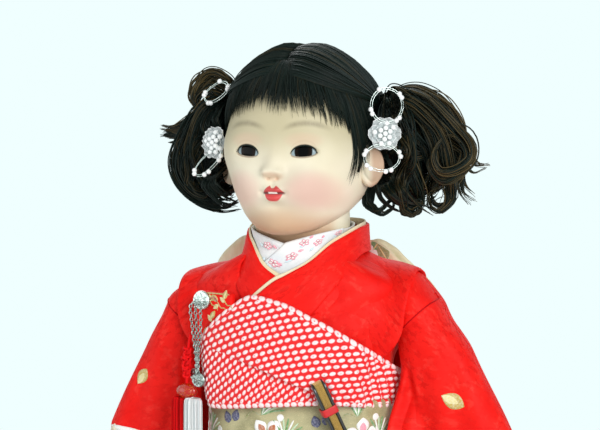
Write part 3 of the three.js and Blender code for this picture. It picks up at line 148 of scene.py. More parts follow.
# %% Piece of the doll
class Piece:
    """Gathers points and quads, with a UV in cloth millimetres and a colour value for each point."""

    def __init__(self):
        self.points, self.quads, self.uvs, self.tints, self.count = [], [], [], [], 0

    def add(self, points, quads, uv=None, tint=None):
        """Adds one closed body, turned to face outwards; a triangle is a quad whose last corner is -1."""
        points = np.asarray(points, float).reshape(-1, 3)
        a, b, c = (points[quads[:, k]] for k in range(3))
        d = points[np.where(quads[:, 3] < 0, quads[:, 2], quads[:, 3])]
        centre = points.mean(0)
        volume = np.einsum("ij,ij->", a - centre, np.cross(b - centre, c - centre))
        volume += np.einsum("ij,ij->", a - centre, np.cross(c - centre, d - centre))
        if volume < 0:
            turned = quads[:, [2, 1, 0, 3]].copy()
            square = quads[:, 3] >= 0
            turned[square] = quads[square][:, ::-1]
            quads = turned
        self.points.append(points)
        self.quads.append(np.where(quads < 0, -1, quads + self.count))
        self.uvs.append(np.zeros((len(points), 2)) if uv is None else np.asarray(uv, float).reshape(-1, 2))
        given = np.zeros(1) if tint is None else np.asarray(tint, float).reshape(-1)
        self.tints.append(np.broadcast_to(given, len(points)))
        self.count += len(points)
        return self

    def skin(self, grid, uv=None, tint=None):
        """Closed body through rows of rings, each end closed by a strip of quads across its ring."""
        rows, cols = grid.shape[:2]
        quads = [mesh_quads(rows, cols, False, True)]
        for end, row in ((0, 0), (1, rows - 1)):
            ring = row * cols + np.arange(cols)
            k = np.arange(cols // 2 - 1)
            cap = np.stack([ring[k], ring[k + 1], ring[cols - 2 - k], ring[cols - 1 - k]], 1)
            quads.append(cap if end else cap[:, ::-1])
        return self.add(grid, np.concatenate(quads), uv, tint)

    def slab(self, outer, inner, loop=False, uv=None, tint=None):
        """Cloth between two grids of one shape, joined round its rim; loop closes it round its columns."""
        rows, cols = outer.shape[:2]
        top = mesh_quads(rows, cols, False, loop)
        low = top[:, ::-1] + rows * cols
        rim = [np.arange(cols)[::-1], (rows - 1) * cols + np.arange(cols)]
        if loop:
            rim = [np.r_[edge, edge[:1]] for edge in rim]
        else:
            rim = [np.r_[np.arange(cols), np.arange(1, rows) * cols + cols - 1,
                         (rows - 1) * cols + np.arange(cols - 2, -1, -1),
                         np.arange(rows - 2, -1, -1) * cols][::-1]]
        sides = [np.stack([e[:-1], e[1:], e[1:] + rows * cols, e[:-1] + rows * cols], 1) for e in rim]
        points = np.concatenate([outer.reshape(-1, 3), inner.reshape(-1, 3)])
        if uv is not None:
            uv = np.concatenate([uv.reshape(-1, 2)] * 2)
        if tint is not None:
            tint = np.concatenate([np.broadcast_to(tint, (rows, cols)).reshape(-1)] * 2)
        return self.add(points, np.concatenate([top, low, *sides]), uv, tint)

    def sheet(self, surface, half, **more):
        """Cloth on both sides of a surface, which is a function of the height over its own middle."""
        return self.slab(surface(half), surface(-half), **more)

    def make(self, name, body, finish, slot, replaces=(), smooth=True):
        """Writes the mesh in metres, gives it a finish and lets it ride on a body; slot is not used."""
        points = np.concatenate(self.points) * MM + AXIS
        quads = np.concatenate(self.quads)
        square = quads[:, 3] >= 0
        sizes = np.where(square, 4, 3)
        loops = quads[quads >= 0]
        mesh = bpy.data.meshes.new(name)
        mesh.vertices.add(len(points))
        mesh.vertices.foreach_set("co", points.astype(np.float32).ravel())
        mesh.loops.add(len(loops))
        mesh.loops.foreach_set("vertex_index", loops.astype(np.int32))
        mesh.polygons.add(len(quads))
        mesh.polygons.foreach_set("loop_start", np.r_[0, np.cumsum(sizes)[:-1]].astype(np.int32))
        mesh.polygons.foreach_set("use_smooth", np.full(len(quads), smooth))
        layer = mesh.uv_layers.new(name="cloth")
        layer.data.foreach_set("uv", np.concatenate(self.uvs)[loops].astype(np.float32).ravel())
        tint = mesh.attributes.new("tint", "FLOAT", "POINT")
        tint.data.foreach_set("value", np.concatenate(self.tints).astype(np.float32))
        mesh.update(calc_edges=True)
        mesh.materials.append(finish)
        piece = bpy.data.objects.new(name, mesh)
        bpy.context.scene.collection.objects.link(piece)
        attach(piece, body)
        if replaces:
            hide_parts(*replaces)
        print(f"{name}: {len(points)} points, {int(sizes.sum() - 2 * len(sizes))} triangles, on {body}")
        return piece


def mesh_quads(rows, cols, loop_rows, loop_cols):
    """Corner numbers of the quads of a grid, going round where a side is looped."""
    i = np.arange(rows if loop_rows else rows - 1)[:, None]
    j = np.arange(cols if loop_cols else cols - 1)[None, :]
    n, m = (i + 1) % rows, (j + 1) % cols
    corners = np.broadcast_arrays(i * cols + j, i * cols + m, n * cols + m, n * cols + j)
    return np.stack(corners, -1).reshape(-1, 4)

# %% Threads and wires
def frames(paths):
    """Two normals along each path, carried from ring to ring, so that a tube doesn't wring."""
    tangent = unit(np.gradient(paths, axis=-2))
    guess = np.where(np.abs(tangent[..., 0, 2:3]) < 0.8, [0.0, 0.0, 1.0], [1.0, 0.0, 0.0])
    normal = [unit(np.cross(tangent[..., 0, :], guess))]
    for k in range(1, paths.shape[-2]):
        t = tangent[..., k, :]
        normal.append(unit(normal[-1] - t * np.sum(normal[-1] * t, -1, keepdims=True)))
    normal = np.stack(normal, -2)
    return normal, np.cross(tangent, normal)


def threads(piece, paths, radius, sides=3, tint=None):
    """Tubes on many paths at once: ring = path + radius (cos a normal + sin a binormal), ends closed."""
    paths = np.asarray(paths, float)
    count, steps = paths.shape[:2]
    normal, binormal = frames(paths)
    turn = 2 * np.pi * np.arange(sides) / sides
    radius = np.broadcast_to(np.asarray(radius, float), (count, steps))[..., None, None]
    ring = np.cos(turn)[:, None] * normal[:, :, None] + np.sin(turn)[:, None] * binormal[:, :, None]
    points = paths[:, :, None] + radius * ring
    one = mesh_quads(steps, sides, False, True)
    if sides == 3:
        caps = np.array([[0, 1, 2, -1], [2, 1, 0, -1]])
        caps[1, :3] += (steps - 1) * sides
        caps = caps[:, [2, 1, 0, 3]]
    else:
        k = np.arange(sides // 2 - 1)
        cap = np.stack([k, k + 1, sides - 2 - k, sides - 1 - k], 1)
        caps = np.concatenate([cap[:, ::-1], cap + (steps - 1) * sides])
    one = np.concatenate([one, caps])
    each = np.arange(count)[:, None, None] * steps * sides
    quads = np.where(one[None] < 0, -1, one[None] + each).reshape(-1, 4)
    uv = stack(np.broadcast_to(turn, (count, steps, sides)), np.arange(steps)[:, None])
    if tint is not None:
        tint = np.broadcast_to(np.asarray(tint, float).reshape(count, -1), (count, steps))
        tint = np.repeat(tint.reshape(-1), sides)
    return piece.add(points, quads, uv, tint)


def smooth_path(points, steps):
    """Points spread evenly along a smooth curve through the given points."""
    points = np.asarray(points, float)
    knots = np.r_[0, np.cumsum(np.linalg.norm(np.diff(points, axis=0), axis=1))]
    curve = stations(np.c_[knots, points])
    return curve(np.linspace(0, knots[-1], steps))


def tube(piece, points, radius, steps=24, sides=8, tint=None):
    """One tube along a smooth curve; its radius is a number, or a function of the share of the way."""
    path = smooth_path(points, steps)
    share = np.linspace(0, 1, steps)
    radius = radius(share) if callable(radius) else np.full(steps, float(radius))
    return threads(piece, path[None], radius[None], sides, None if tint is None else [tint])


def ball(piece, centre, radius, rows=10, cols=16):
    """Round bead: rings of radius sin t at height cos t, with small rings that close its poles."""
    down = np.linspace(0.02, np.pi - 0.02, rows)[:, None]
    return piece.skin(radius * sphere(down, once_round(cols)) + np.asarray(centre, float))


print("threads and beads are ready")

# %% [markdown]
# ## Writing shaders as sums
# Colours, weaves and sheens are worked out from a point's place on the doll or on its cloth. A small class
# wraps a node's output, so that a formula such as 1 - mask * 0.5 adds its own Math nodes, and one method
# makes any node.

# %% Shader sums
class Value:
    """An output of a node; each operator adds one Math node."""

    def __init__(self, nodes, socket):
        self.nodes, self.socket = nodes, socket

    def math(self, operation, *terms):
        return self.nodes.node("ShaderNodeMath", {"operation": operation}, dict(enumerate(terms)))

    def __add__(self, other):
        return self.math("ADD", self, other)

    def __radd__(self, other):
        return self.math("ADD", other, self)

    def __sub__(self, other):
        return self.math("SUBTRACT", self, other)

    def __rsub__(self, other):
        return self.math("SUBTRACT", other, self)

    def __mul__(self, other):
        return self.math("MULTIPLY", self, other)

    def __rmul__(self, other):
        return self.math("MULTIPLY", other, self)

    def __truediv__(self, other):
        return self.math("DIVIDE", self, other)

    def __pow__(self, other):
        return self.math("POWER", self, other)

    def size(self):
        return self.math("ABSOLUTE", self)

    def sine(self):
        return self.math("SINE", self)

    def least(self, other):
        return self.math("MINIMUM", self, other)

    def most(self, other):
        return self.math("MAXIMUM", self, other)

    def step(self, low, high):
        """Smooth mask: 0 at low and 1 at high, either way round."""
        ends = {1: low, 2: high, 3: 0.0, 4: 1.0} if low < high else {1: high, 2: low, 3: 1.0, 4: 0.0}
        return self.nodes.node("ShaderNodeMapRange", {"interpolation_type": "SMOOTHSTEP"}, {0: self, **ends})


class Nodes:
    """A material's node tree, with one method for any node and short names for the ones used most."""

    def __init__(self, tree):
        self.tree = tree

    def node(self, kind, settings=None, inputs=None, out=0):
        """Adds a node: its settings first, then its sockets, where a Value is linked and the rest is set."""
        made = self.tree.nodes.new(kind)
        for key, value in (settings or {}).items():
            if key == "stops":
                while len(made.color_ramp.elements) < len(value):
                    made.color_ramp.elements.new(0.5)
                for element, (place, colour) in zip(made.color_ramp.elements, value):
                    element.position, element.color = place, colour
            elif key == "steps":
                made.color_ramp.interpolation = value
            else:
                setattr(made, key, value)
        for key, value in (inputs or {}).items():
            if isinstance(value, Value):
                self.tree.links.new(value.socket, made.inputs[key])
            else:
                made.inputs[key].default_value = value
        return Value(self, made.outputs[out])

    def here(self):
        """The point's x, y and z in millimetres round the axis of the neck."""
        spot = self.node("ShaderNodeTexCoord", out="Object")
        moved = {0: spot, "Scale": (1000, 1000, 1000), "Location": (0, -1000 * AXIS[1], 0)}
        return self.node("ShaderNodeMapping", {}, moved)

    def cloth(self):
        """The point's place on its own cloth, in millimetres."""
        return self.node("ShaderNodeUVMap", {"uv_map": "cloth"})

    def tint(self):
        """The value that the piece's builder gave to the point."""
        return self.node("ShaderNodeAttribute", {"attribute_name": "tint"}, out="Fac")

    def parts(self, vector):
        """The three numbers of a vector."""
        made = self.node("ShaderNodeSeparateXYZ", {}, {0: vector}).socket.node
        return [Value(self, made.outputs[k]) for k in range(3)]

    def noise(self, vector, scale, detail=2.0, roughness=0.5):
        inputs = {"Vector": vector, "Scale": scale, "Detail": detail, "Roughness": roughness}
        return self.node("ShaderNodeTexNoise", {}, inputs)

    def mix(self, mask, first, second):
        """Colour between first and second."""
        return self.node("ShaderNodeMix", {"data_type": "RGBA"}, {0: mask, 6: first, 7: second}, out=2)

    def bump(self, height, strength, distance=0.001):
        return self.node("ShaderNodeBump", {}, {"Strength": strength, "Distance": distance, "Height": height})


def srgb(text):
    """Colour written as it looks on a screen, turned into light."""
    value = np.array([int(text[k:k + 2], 16) for k in (1, 3, 5)]) / 255
    light = np.where(value <= 0.04045, value / 12.92, ((value + 0.055) / 1.055) ** 2.4)
    return (*light.tolist(), 1.0)


def finish(name, paint, **plain):
    """Principled material: paint(nodes) gives the sockets that vary, and plain values are set."""
    material = bpy.data.materials.new(name)
    material.use_nodes = True
    nodes = Nodes(material.node_tree)
    shader = next(n for n in material.node_tree.nodes if n.type == "BSDF_PRINCIPLED")
    for key, value in plain.items():
        shader.inputs[key.replace("_", " ").title().replace("Ior", "IOR")].default_value = value
    for key, value in paint(nodes).items():
        material.node_tree.links.new(value.socket, shader.inputs[key])
    return material


print("white as light:", srgb("#ffffff")[:3])

# %% [markdown]
# ## Camera and light
# The doll is seen from its left front at about the height of its face, through a long lens that keeps the two
# shoulders nearly parallel. A large soft lamp stands in front and to the doll's left, a weaker one opposite,
# and the background is a pale colour that only the camera and reflections see, so it adds no light to the
# doll.

# %% Camera
AZIMUTH, ELEVATION = np.radians(19.0), np.radians(3.0)
VIEW_CENTRE = np.array([-1.5, -0.5, 328.0])
VIEW_DISTANCE, LENS = 1300.0, 147.2
away_from_doll = sphere(np.pi / 2 - ELEVATION, AZIMUTH - np.pi / 2)
camera_data = bpy.data.cameras.new("camera")
camera_data.lens = LENS
camera_data.sensor_width = 36.0
camera_data.clip_start = 0.05
camera = bpy.data.objects.new("camera", camera_data)
camera.location = (VIEW_CENTRE + VIEW_DISTANCE * away_from_doll) * MM + AXIS
camera.rotation_euler = (np.pi / 2 - ELEVATION, 0, AZIMUTH)
bpy.context.scene.collection.objects.link(camera)
bpy.context.scene.camera = camera
bpy.context.scene.view_settings.view_transform = "Standard"
print("camera at", [round(v, 3) for v in camera.location])

# %% Lamps, background and floor
LAMP_AIM = np.array([0, 0, 0.32])


def soft_lamp(name, at, power, size):
    """Square lamp that faces the doll's chest."""
    data = bpy.data.lights.new(name, "AREA")
    data.energy, data.size = power, size
    lamp = bpy.data.objects.new(name, data)
    lamp.location = at
    aim = LAMP_AIM - np.array(at)
    lamp.rotation_euler = (np.arccos(-aim[2] / np.linalg.norm(aim)), 0,
                           np.arctan2(aim[1], aim[0]) - np.pi / 2)
    bpy.context.scene.collection.objects.link(lamp)


soft_lamp("front_lamp", (0.85, -1.0, 0.66), 14.0, 0.7)
soft_lamp("fill_lamp", (-1.1, -0.75, 0.5), 4.2, 0.9)
soft_lamp("back_lamp", (-0.5, 1.0, 1.1), 5.0, 0.8)

world = bpy.data.worlds.new("studio")
bpy.context.scene.world = world
world.use_nodes = True
sky = Nodes(world.node_tree)
rays = world.node_tree.nodes.new("ShaderNodeLightPath").outputs
camera_ray, glossy_ray, clear_ray = (Value(sky, rays[f"Is {kind} Ray"])
                                     for kind in ("Camera", "Glossy", "Transmission"))
seen = camera_ray + glossy_ray + clear_ray
ambient = sky.node("ShaderNodeBackground", {}, {"Color": (1, 1, 1, 1), "Strength": 0.4})
backdrop = sky.node("ShaderNodeBackground", {}, {"Color": srgb("#f0ffff"), "Strength": 1.0})
both = sky.node("ShaderNodeMixShader", {}, {0: seen.least(1.0), 1: ambient, 2: backdrop})
sky_end = next(n for n in world.node_tree.nodes if n.type == "OUTPUT_WORLD")
world.node_tree.links.new(both.socket, sky_end.inputs["Surface"])

FLOOR_R, FLOOR_Z, FLOOR_SIDES = 1.1, -0.0005, 96
rim = once_round(FLOOR_SIDES)[0]
floor_corners = stack(FLOOR_R * np.cos(rim), FLOOR_R * np.sin(rim), FLOOR_Z).tolist()
floor_mesh = bpy.data.meshes.new("floor")
floor_mesh.from_pydata(floor_corners, [], [list(range(FLOOR_SIDES))])
floor_mesh.update()
floor = bpy.data.objects.new("floor", floor_mesh)
bpy.context.scene.collection.objects.link(floor)


def floor_paint(nodes):
    grain = nodes.noise(nodes.node("ShaderNodeTexCoord", out="Object"), 30.0)
    return {"Base Color": nodes.mix(grain, srgb("#e6eeee"), srgb("#eef4f4"))}


floor_mesh.materials.append(finish("pale_floor", floor_paint, roughness=0.7))
print("lamps, background and floor are in place")

# %% [markdown]
# ## Cloth, thread and lacquer
# The kimono is a figured silk: the same red woven in two ways, so that flowing lines show only by their
# sheen. The pattern is read from the cloth's own millimetres, because it has to follow the sleeve and not the
# room. Thread, metal, lacquer and paper are simpler, but each has the grain that the real one shows.

# %% Silks
FULL_TURN = 6.283


def weave(nodes, spot, pitch):
    """Warp and weft: two sine ripples across each other, in cloth millimetres."""
    u, v, _ = nodes.parts(spot)
    return (u * (FULL_TURN / pitch)).sine() * (v * (FULL_TURN / pitch)).sine()


def red_silk_paint(nodes):
    spot = nodes.cloth()
    cloud = nodes.noise(spot, 0.06, 3.0)
    slub = nodes.noise(spot, 1.4, 2.0)
    dense = 0.35 + nodes.noise(spot, 0.03, 1.0).step(0.4, 0.6) * 0.65
    # Painted sheen: the damask figure is painted darker and its lustre patches lighter; roughness also
    # differs.
    figured = nodes.noise(spot, 0.26, 3.0, 0.65).step(0.52, 0.58) * dense
    ground = nodes.mix(cloud.step(0.3, 0.7), srgb("#e6110a"), srgb("#f11d14"))
    lustre = nodes.noise(spot, 0.21, 3.0, 0.6).step(0.53, 0.63) * cloud.step(0.35, 0.6)
    ground = nodes.mix(lustre * 0.3, ground, srgb("#f5483c"))
    return {
        "Base Color": nodes.mix(figured * 0.42, ground, srgb("#c20604")),
        "Roughness": 0.5 + figured * 0.12 + slub * 0.1,
        "Normal": nodes.bump(slub * 0.5 + weave(nodes, spot, 0.5) * 0.12 + figured * 0.35, 0.25, 0.0004),
    }


def plain_silk(light, dark, wild=0.06):
    """Silk of one colour with soft clouds of a darker tone and a fine weave."""
    def paint(nodes):
        spot = nodes.cloth()
        cloud = nodes.noise(spot, wild, 3.0)
        slub = nodes.noise(spot, 1.2, 2.0)
        return {
            "Base Color": nodes.mix(cloud.step(0.25, 0.75), srgb(dark), srgb(light)),
            "Roughness": 0.55 + slub * 0.15,
            "Normal": nodes.bump(slub * 0.5 + weave(nodes, spot, 0.6) * 0.2, 0.3, 0.0004),
        }
    return paint


def dyed_silk_paint(nodes):
    """Tie-dyed crepe: red between the knots and nearly white on top, where the knot keeps dye out."""
    crepe = nodes.noise(nodes.cloth(), 1.6, 3.0)
    top = (nodes.tint() + (crepe - 0.5) * 0.35).step(0.2, 0.8)
    return {
        "Base Color": nodes.mix(top, srgb("#e40c12"), srgb("#fce4e4")),
        "Roughness": 0.6 + crepe * 0.2,
        "Normal": nodes.bump(crepe, 0.35, 0.0004),
    }


def brocade_paint(nodes):
    """Sage and gold ground: fine weft ribs, with paler clouds where the gold thread lies flat."""
    spot = nodes.cloth()
    _, v, _ = nodes.parts(spot)
    ribs = (v * (FULL_TURN / 0.7)).sine()
    cloud = nodes.noise(spot, 0.07, 3.0)
    fleck = nodes.noise(spot, 2.2, 2.0).step(0.5, 0.72)
    ground = nodes.mix(cloud.step(0.35, 0.65), srgb("#938f68"), srgb("#b9b389"))
    return {
        "Base Color": nodes.mix(fleck * 0.5, ground, srgb("#e6d9a4")),
        "Roughness": 0.5 - fleck * 0.14,
        "Normal": nodes.bump(ribs * 0.4 + fleck * 0.3, 0.3, 0.0004),
    }


red_silk = finish("red_figured_silk", red_silk_paint, specular_ior_level=0.15)
white_silk = finish("white_under_silk", plain_silk("#f4f3f0", "#dfe6ea"), sheen_weight=0.15)
cream_silk = finish("cream_trim_silk", plain_silk("#f3e9c6", "#e6d8ae"), sheen_weight=0.15)
dyed_silk = finish("dyed_silk", dyed_silk_paint, sheen_weight=0.1)
brocade = finish("sash_brocade", brocade_paint)
cotton = finish("white_cotton", plain_silk("#f3f0ea", "#e4dfd6", 0.1))
print("silks:", [m.name for m in (red_silk, white_silk, cream_silk, dyed_silk, brocade, cotton)])

# %% Embroidery and thread
THREADS = {
    "gold": "#c2a64c", "pale_gold": "#e2d490", "green": "#5f9b52", "pale_green": "#bcd8ae",
    "white": "#f4f5f0", "navy": "#2b3362", "salmon": "#e48a6c", "russet": "#b5652f", "pink": "#f09aac",
    "pale_blue": "#cfe7ee", "deep_red": "#9f0d14", "rose": "#d8627e", "moss": "#8d9355", "bronze": "#8a7a3f",
}


def thread(name):
    """Value that a point gets so that it takes the colour of that thread."""
    return (list(THREADS).index(name) + 0.5) / len(THREADS)


def embroidery_paint(nodes):
    """Flat stitches: the thread's colour by the point's value, with fine ridges along the cloth."""
    spot = nodes.cloth()
    u, v, _ = nodes.parts(spot)
    ridges = ((u + v * 0.6) * (FULL_TURN / 0.8)).sine()
    stops = [(k / len(THREADS), srgb(colour)) for k, colour in enumerate(THREADS.values())]
    colour = nodes.node("ShaderNodeValToRGB", {"stops": stops, "steps": "CONSTANT"}, {0: nodes.tint()})
    shade = nodes.noise(spot, 0.9, 2.0)
    return {
        "Base Color": nodes.mix(shade.step(0.3, 0.8) * 0.3, colour, srgb("#ffffff")),
        "Roughness": 0.42 + shade * 0.15,
        "Normal": nodes.bump(ridges, 0.25, 0.0003),
    }


def spun(light, dark):
    """Spun thread: each strand a little lighter or darker by its own value."""
    def paint(nodes):
        grain = nodes.noise(nodes.here(), 1.5, 2.0)
        return {
            "Base Color": nodes.mix((nodes.tint() * 0.7 + grain * 0.4).step(0.1, 0.9), srgb(dark),
                                    srgb(light)),
            "Roughness": 0.5 + grain * 0.2,
        }
    return paint


embroidery = finish("embroidery", embroidery_paint)
red_thread = finish("red_thread", spun("#f01216", "#b80307"), specular_ior_level=0.12)
white_thread = finish("white_thread", spun("#fdfefd", "#d9e4e6"), sheen_weight=0.1)
print("threads:", list(THREADS))

# %% Hair, film, pearl, metal, wood, lacquer and paper
def hair_paint(nodes):
    """Combed silk hair: almost black, each strand between a cold and a brown tone; on the bunches the brown
    is also painted highlight.
    """
    shade = nodes.tint()
    grain = nodes.noise(nodes.here(), 0.12, 2.0)
    cold = nodes.mix(grain, srgb("#020a07"), srgb("#0a1c16"))
    return {
        "Base Color": nodes.mix(shade.step(0.4, 1.0), cold, srgb("#54472b")),
        "Roughness": 0.42 + grain * 0.16,
    }


def film_paint(nodes):
    """Clear organza: nearly see-through in the middle of a petal and white along its heat-sealed edge."""
    edge = nodes.tint()
    weft = nodes.noise(nodes.here(), 2.5, 1.0)
    return {
        "Base Color": nodes.mix(edge, srgb("#dfeaea"), srgb("#fbfdfd")),
        "Alpha": 0.3 + edge.step(0.5, 1.0) * 0.55 + weft * 0.12,
        "Roughness": 0.2 + weft * 0.15,
    }


def pearl_paint(nodes):
    grain = nodes.noise(nodes.here(), 0.5, 2.0)
    return {"Base Color": nodes.mix(grain, srgb("#eef2f1"), srgb("#fbfdfd")),
            "Roughness": 0.16 + grain * 0.12}


def silver_paint(dark, light):
    """Stamped silver: small dents, and darker polish left in the hollows."""
    def paint(nodes):
        dents = nodes.noise(nodes.here(), 0.9, 3.0)
        return {
            "Base Color": nodes.mix(dents.step(0.3, 0.6), srgb(dark), srgb(light)),
            "Roughness": 0.2 + dents * 0.2,
            "Normal": nodes.bump(dents, 0.2, 0.0004),
        }
    return paint


def wood_paint(nodes):
    x, y, _ = nodes.parts(nodes.here())
    rings = ((x * x + y * y) ** 0.5 * 1.6 + nodes.noise(nodes.here(), 0.08) * 9.0).sine()
    return {"Base Color": nodes.mix(rings * 0.5 + 0.5, srgb("#9a7448"), srgb("#bb9566")),
            "Roughness": 0.6 + rings * 0.05}


def lacquer_paint(nodes):
    grain = nodes.noise(nodes.here(), 0.4, 2.0)
    return {"Base Color": nodes.mix(grain, srgb("#060506"), srgb("#151314")),
            "Roughness": 0.12 + grain * 0.12}


def paper(light, dark):
    """Foil or dyed paper: fibres as a stretched grain, with painted shade that darkens the folds by the
    point's value.
    """
    def paint(nodes):
        fibre = nodes.noise(nodes.here(), 1.1, 3.0)
        return {
            "Base Color": nodes.mix((nodes.tint() * 0.8 + fibre * 0.4).step(0.1, 1.0), srgb(dark),
                                    srgb(light)),
            "Roughness": 0.36 + fibre * 0.2,
        }
    return paint


hair = finish("black_hair", hair_paint, specular_ior_level=0.2)
film = finish("petal_film", film_paint)
pearl = finish("pearl", pearl_paint, coat_weight=0.5, coat_roughness=0.08)
silver = finish("silver", silver_paint("#a9b5b0", "#dfe8e3"), metallic=1.0)
# The chains and discs get a darker silver: painted shade.
shade_dark_silver = finish("shade_dark_silver", silver_paint("#5f6b67", "#a4b0aa"), metallic=1.0)
wood = finish("turned_wood", wood_paint)
lacquer = finish("black_lacquer", lacquer_paint, coat_weight=0.6)
gold_paper = finish("gold_paper", paper("#f6d98a", "#6b4715"))
red_paper = finish("red_paper", paper("#d3181d", "#a50c12"))
print("finishes:", len(bpy.data.materials))

# %% [markdown]
# ## Head
# The head is turned wood or paste under many coats of ground shell, polished to a soft ivory. A smooth egg
# from the frame's own profile carries the whole face: nose, lips, lids and cheeks are humps and hollows added
# along its normal, fine enough for the lids to have an edge. Brows, lashes, lips and blush are painted on, as
# they are on the real one, so they belong to the finish and are placed by the face's own millimetres.

# %% Face form
FACE_TURN = np.radians(-2.5)
HEAD_HALF, HEAD_DEPTH, CHIN, FACE = 39.8, 44.2, 319.0, 94.0
EYE_IN, EYE_WIDE, EYE_Z_IN, EYE_Z_OUT, LID_UP, LID_DOWN = 9.1, 12.9, 361.3, 362.0, 4.0, 1.7
MOUTH_Z, MOUTH_HALF, NOSE_Z, BROW_Z = 341.3, 5.7, 353.6, 377.2
SOCKET, TEMPLE = (15.5, 364, 11, 6.5), (26, 364, 11, 11)
EAR_AT = np.array([39.3, -4.5, 354.5])

head_profile = stations([
    (0.005, 0.2, 0.16, -0.54), (0.03, 0.4, 0.36, -0.45), (0.094, 0.62, 0.61, -0.27),
    (0.167, 0.765, 0.79, -0.125), (0.24, 0.872, 0.916, -0.034), (0.333, 0.955, 0.984, 0.023),
    (0.44, 1, 1, 0.045), (0.635, 0.955, 0.977, 0.045), (0.76, 0.867, 0.9, 0.045), (0.865, 0.7, 0.735, 0.045),
    (0.95, 0.44, 0.475, 0.045), (1, 0.08, 0.09, 0.045),
])


def head_at(z):
    """Half-width, half-depth and middle of the skull's ring at a height."""
    a, b, y = np.moveaxis(head_profile((np.asarray(z, float) - CHIN) / FACE), -1, 0)
    return a * HEAD_HALF, b * HEAD_DEPTH, y * HEAD_DEPTH


def skull(angle, z):
    """Ring of an ellipse at each height; the face looks to the angle of -90 degrees."""
    a, b, y = head_at(z)
    return stack(a * np.cos(angle), y + b * np.sin(angle), z)


def face_y(x, z):
    """Front of the skull at a place on the face."""
    a, b, y = head_at(z)
    return y - b * np.sqrt(np.maximum(1 - (x / a) ** 2, 0.02))


def socket_y(x, z):
    """Front of the face at the eyes: the skull with the hollow of the socket and the swell beside it."""
    side = np.abs(x)
    return face_y(x, z) + 1.5 * bulge(side, z, *SOCKET) - 3.6 * bulge(side, z, *TEMPLE)


def turned(points):
    """Points turned round the axis of the neck, as the doll looks a little to its right."""
    x, y, z = np.moveaxis(points, -1, 0)
    cos, sin = np.cos(FACE_TURN), np.sin(FACE_TURN)
    return stack(x * cos - y * sin, x * sin + y * cos, z)


def lids(share):
    """Heights of the lower and the upper lid at a share of the way from the inner to the outer corner."""
    level = lerp(EYE_Z_IN, EYE_Z_OUT, share)
    arch = np.clip(4 * share * (1 - share), 0, 1)
    return level - LID_DOWN * arch ** 0.6, level + LID_UP * arch ** 0.55


# Height of each hump, its place beside the middle and over the floor, its half-width and half-height
RELIEF = (
    (0.7, 0, NOSE_Z - 1.0, 3.8, 3.2), (1.9, 3.9, NOSE_Z - 1.4, 2.3, 2.3), (-1.2, 2.3, NOSE_Z - 4.5, 1.2, 0.9),
    (4.2, *TEMPLE), (-1.5, *SOCKET), (0.9, 15, 380, 13, 5), (1.2, 16, 345, 9, 9), (1.5, 0, 325, 9, 5.5),
    (1.6, 0, MOUTH_Z, 8.5, 6.5), (-0.9, 0, MOUTH_Z - 7, 6, 2), (1.5, 1.9, MOUTH_Z + 2, 3, 1.7),
    (1.7, 0, MOUTH_Z - 2.3, 4.2, 1.9), (-0.5, 0, MOUTH_Z + 5.5, 1.3, 2.4), (-0.7, 6.4, MOUTH_Z, 1.4, 1.6),
)


def face_relief(x, z):
    """Humps and hollows of the face: sockets, nose, cheeks, lips and chin, mirrored in the middle."""
    side = np.abs(x)
    share = (side - EYE_IN) / EYE_WIDE
    low, high = lids(share)
    between = ramp(np.minimum(high - z, z - low), -0.25, 0.35)
    inside = between * ramp(share, -0.01, 0.02) * ramp(share, 1.01, 0.98)
    lid_fold = hump(z - high, 1.5, 1.1) * ramp(share, -0.1, 0.2) * ramp(share, 1.15, 0.9)
    nose = ramp(z, 366, 352)
    bridge = hump(x, 0, lerp(4.2, 4.9, nose)) * nose * ramp(z, NOSE_Z - 5.2, NOSE_Z - 1.0)
    parting = np.exp(-(((z - MOUTH_Z - 0.1) / 0.8) ** 2) - (x / 5.6) ** 4)
    out = 3.4 * bridge - 1.1 * parting + sum(height * bulge(side, z, *at) for height, *at in RELIEF)
    return out + 0.15 * lid_fold - 1.15 * inside


print("eye from", EYE_IN, "to", EYE_IN + EYE_WIDE, "mm; lids at", [v.round(1) for v in lids(np.array(0.5))])

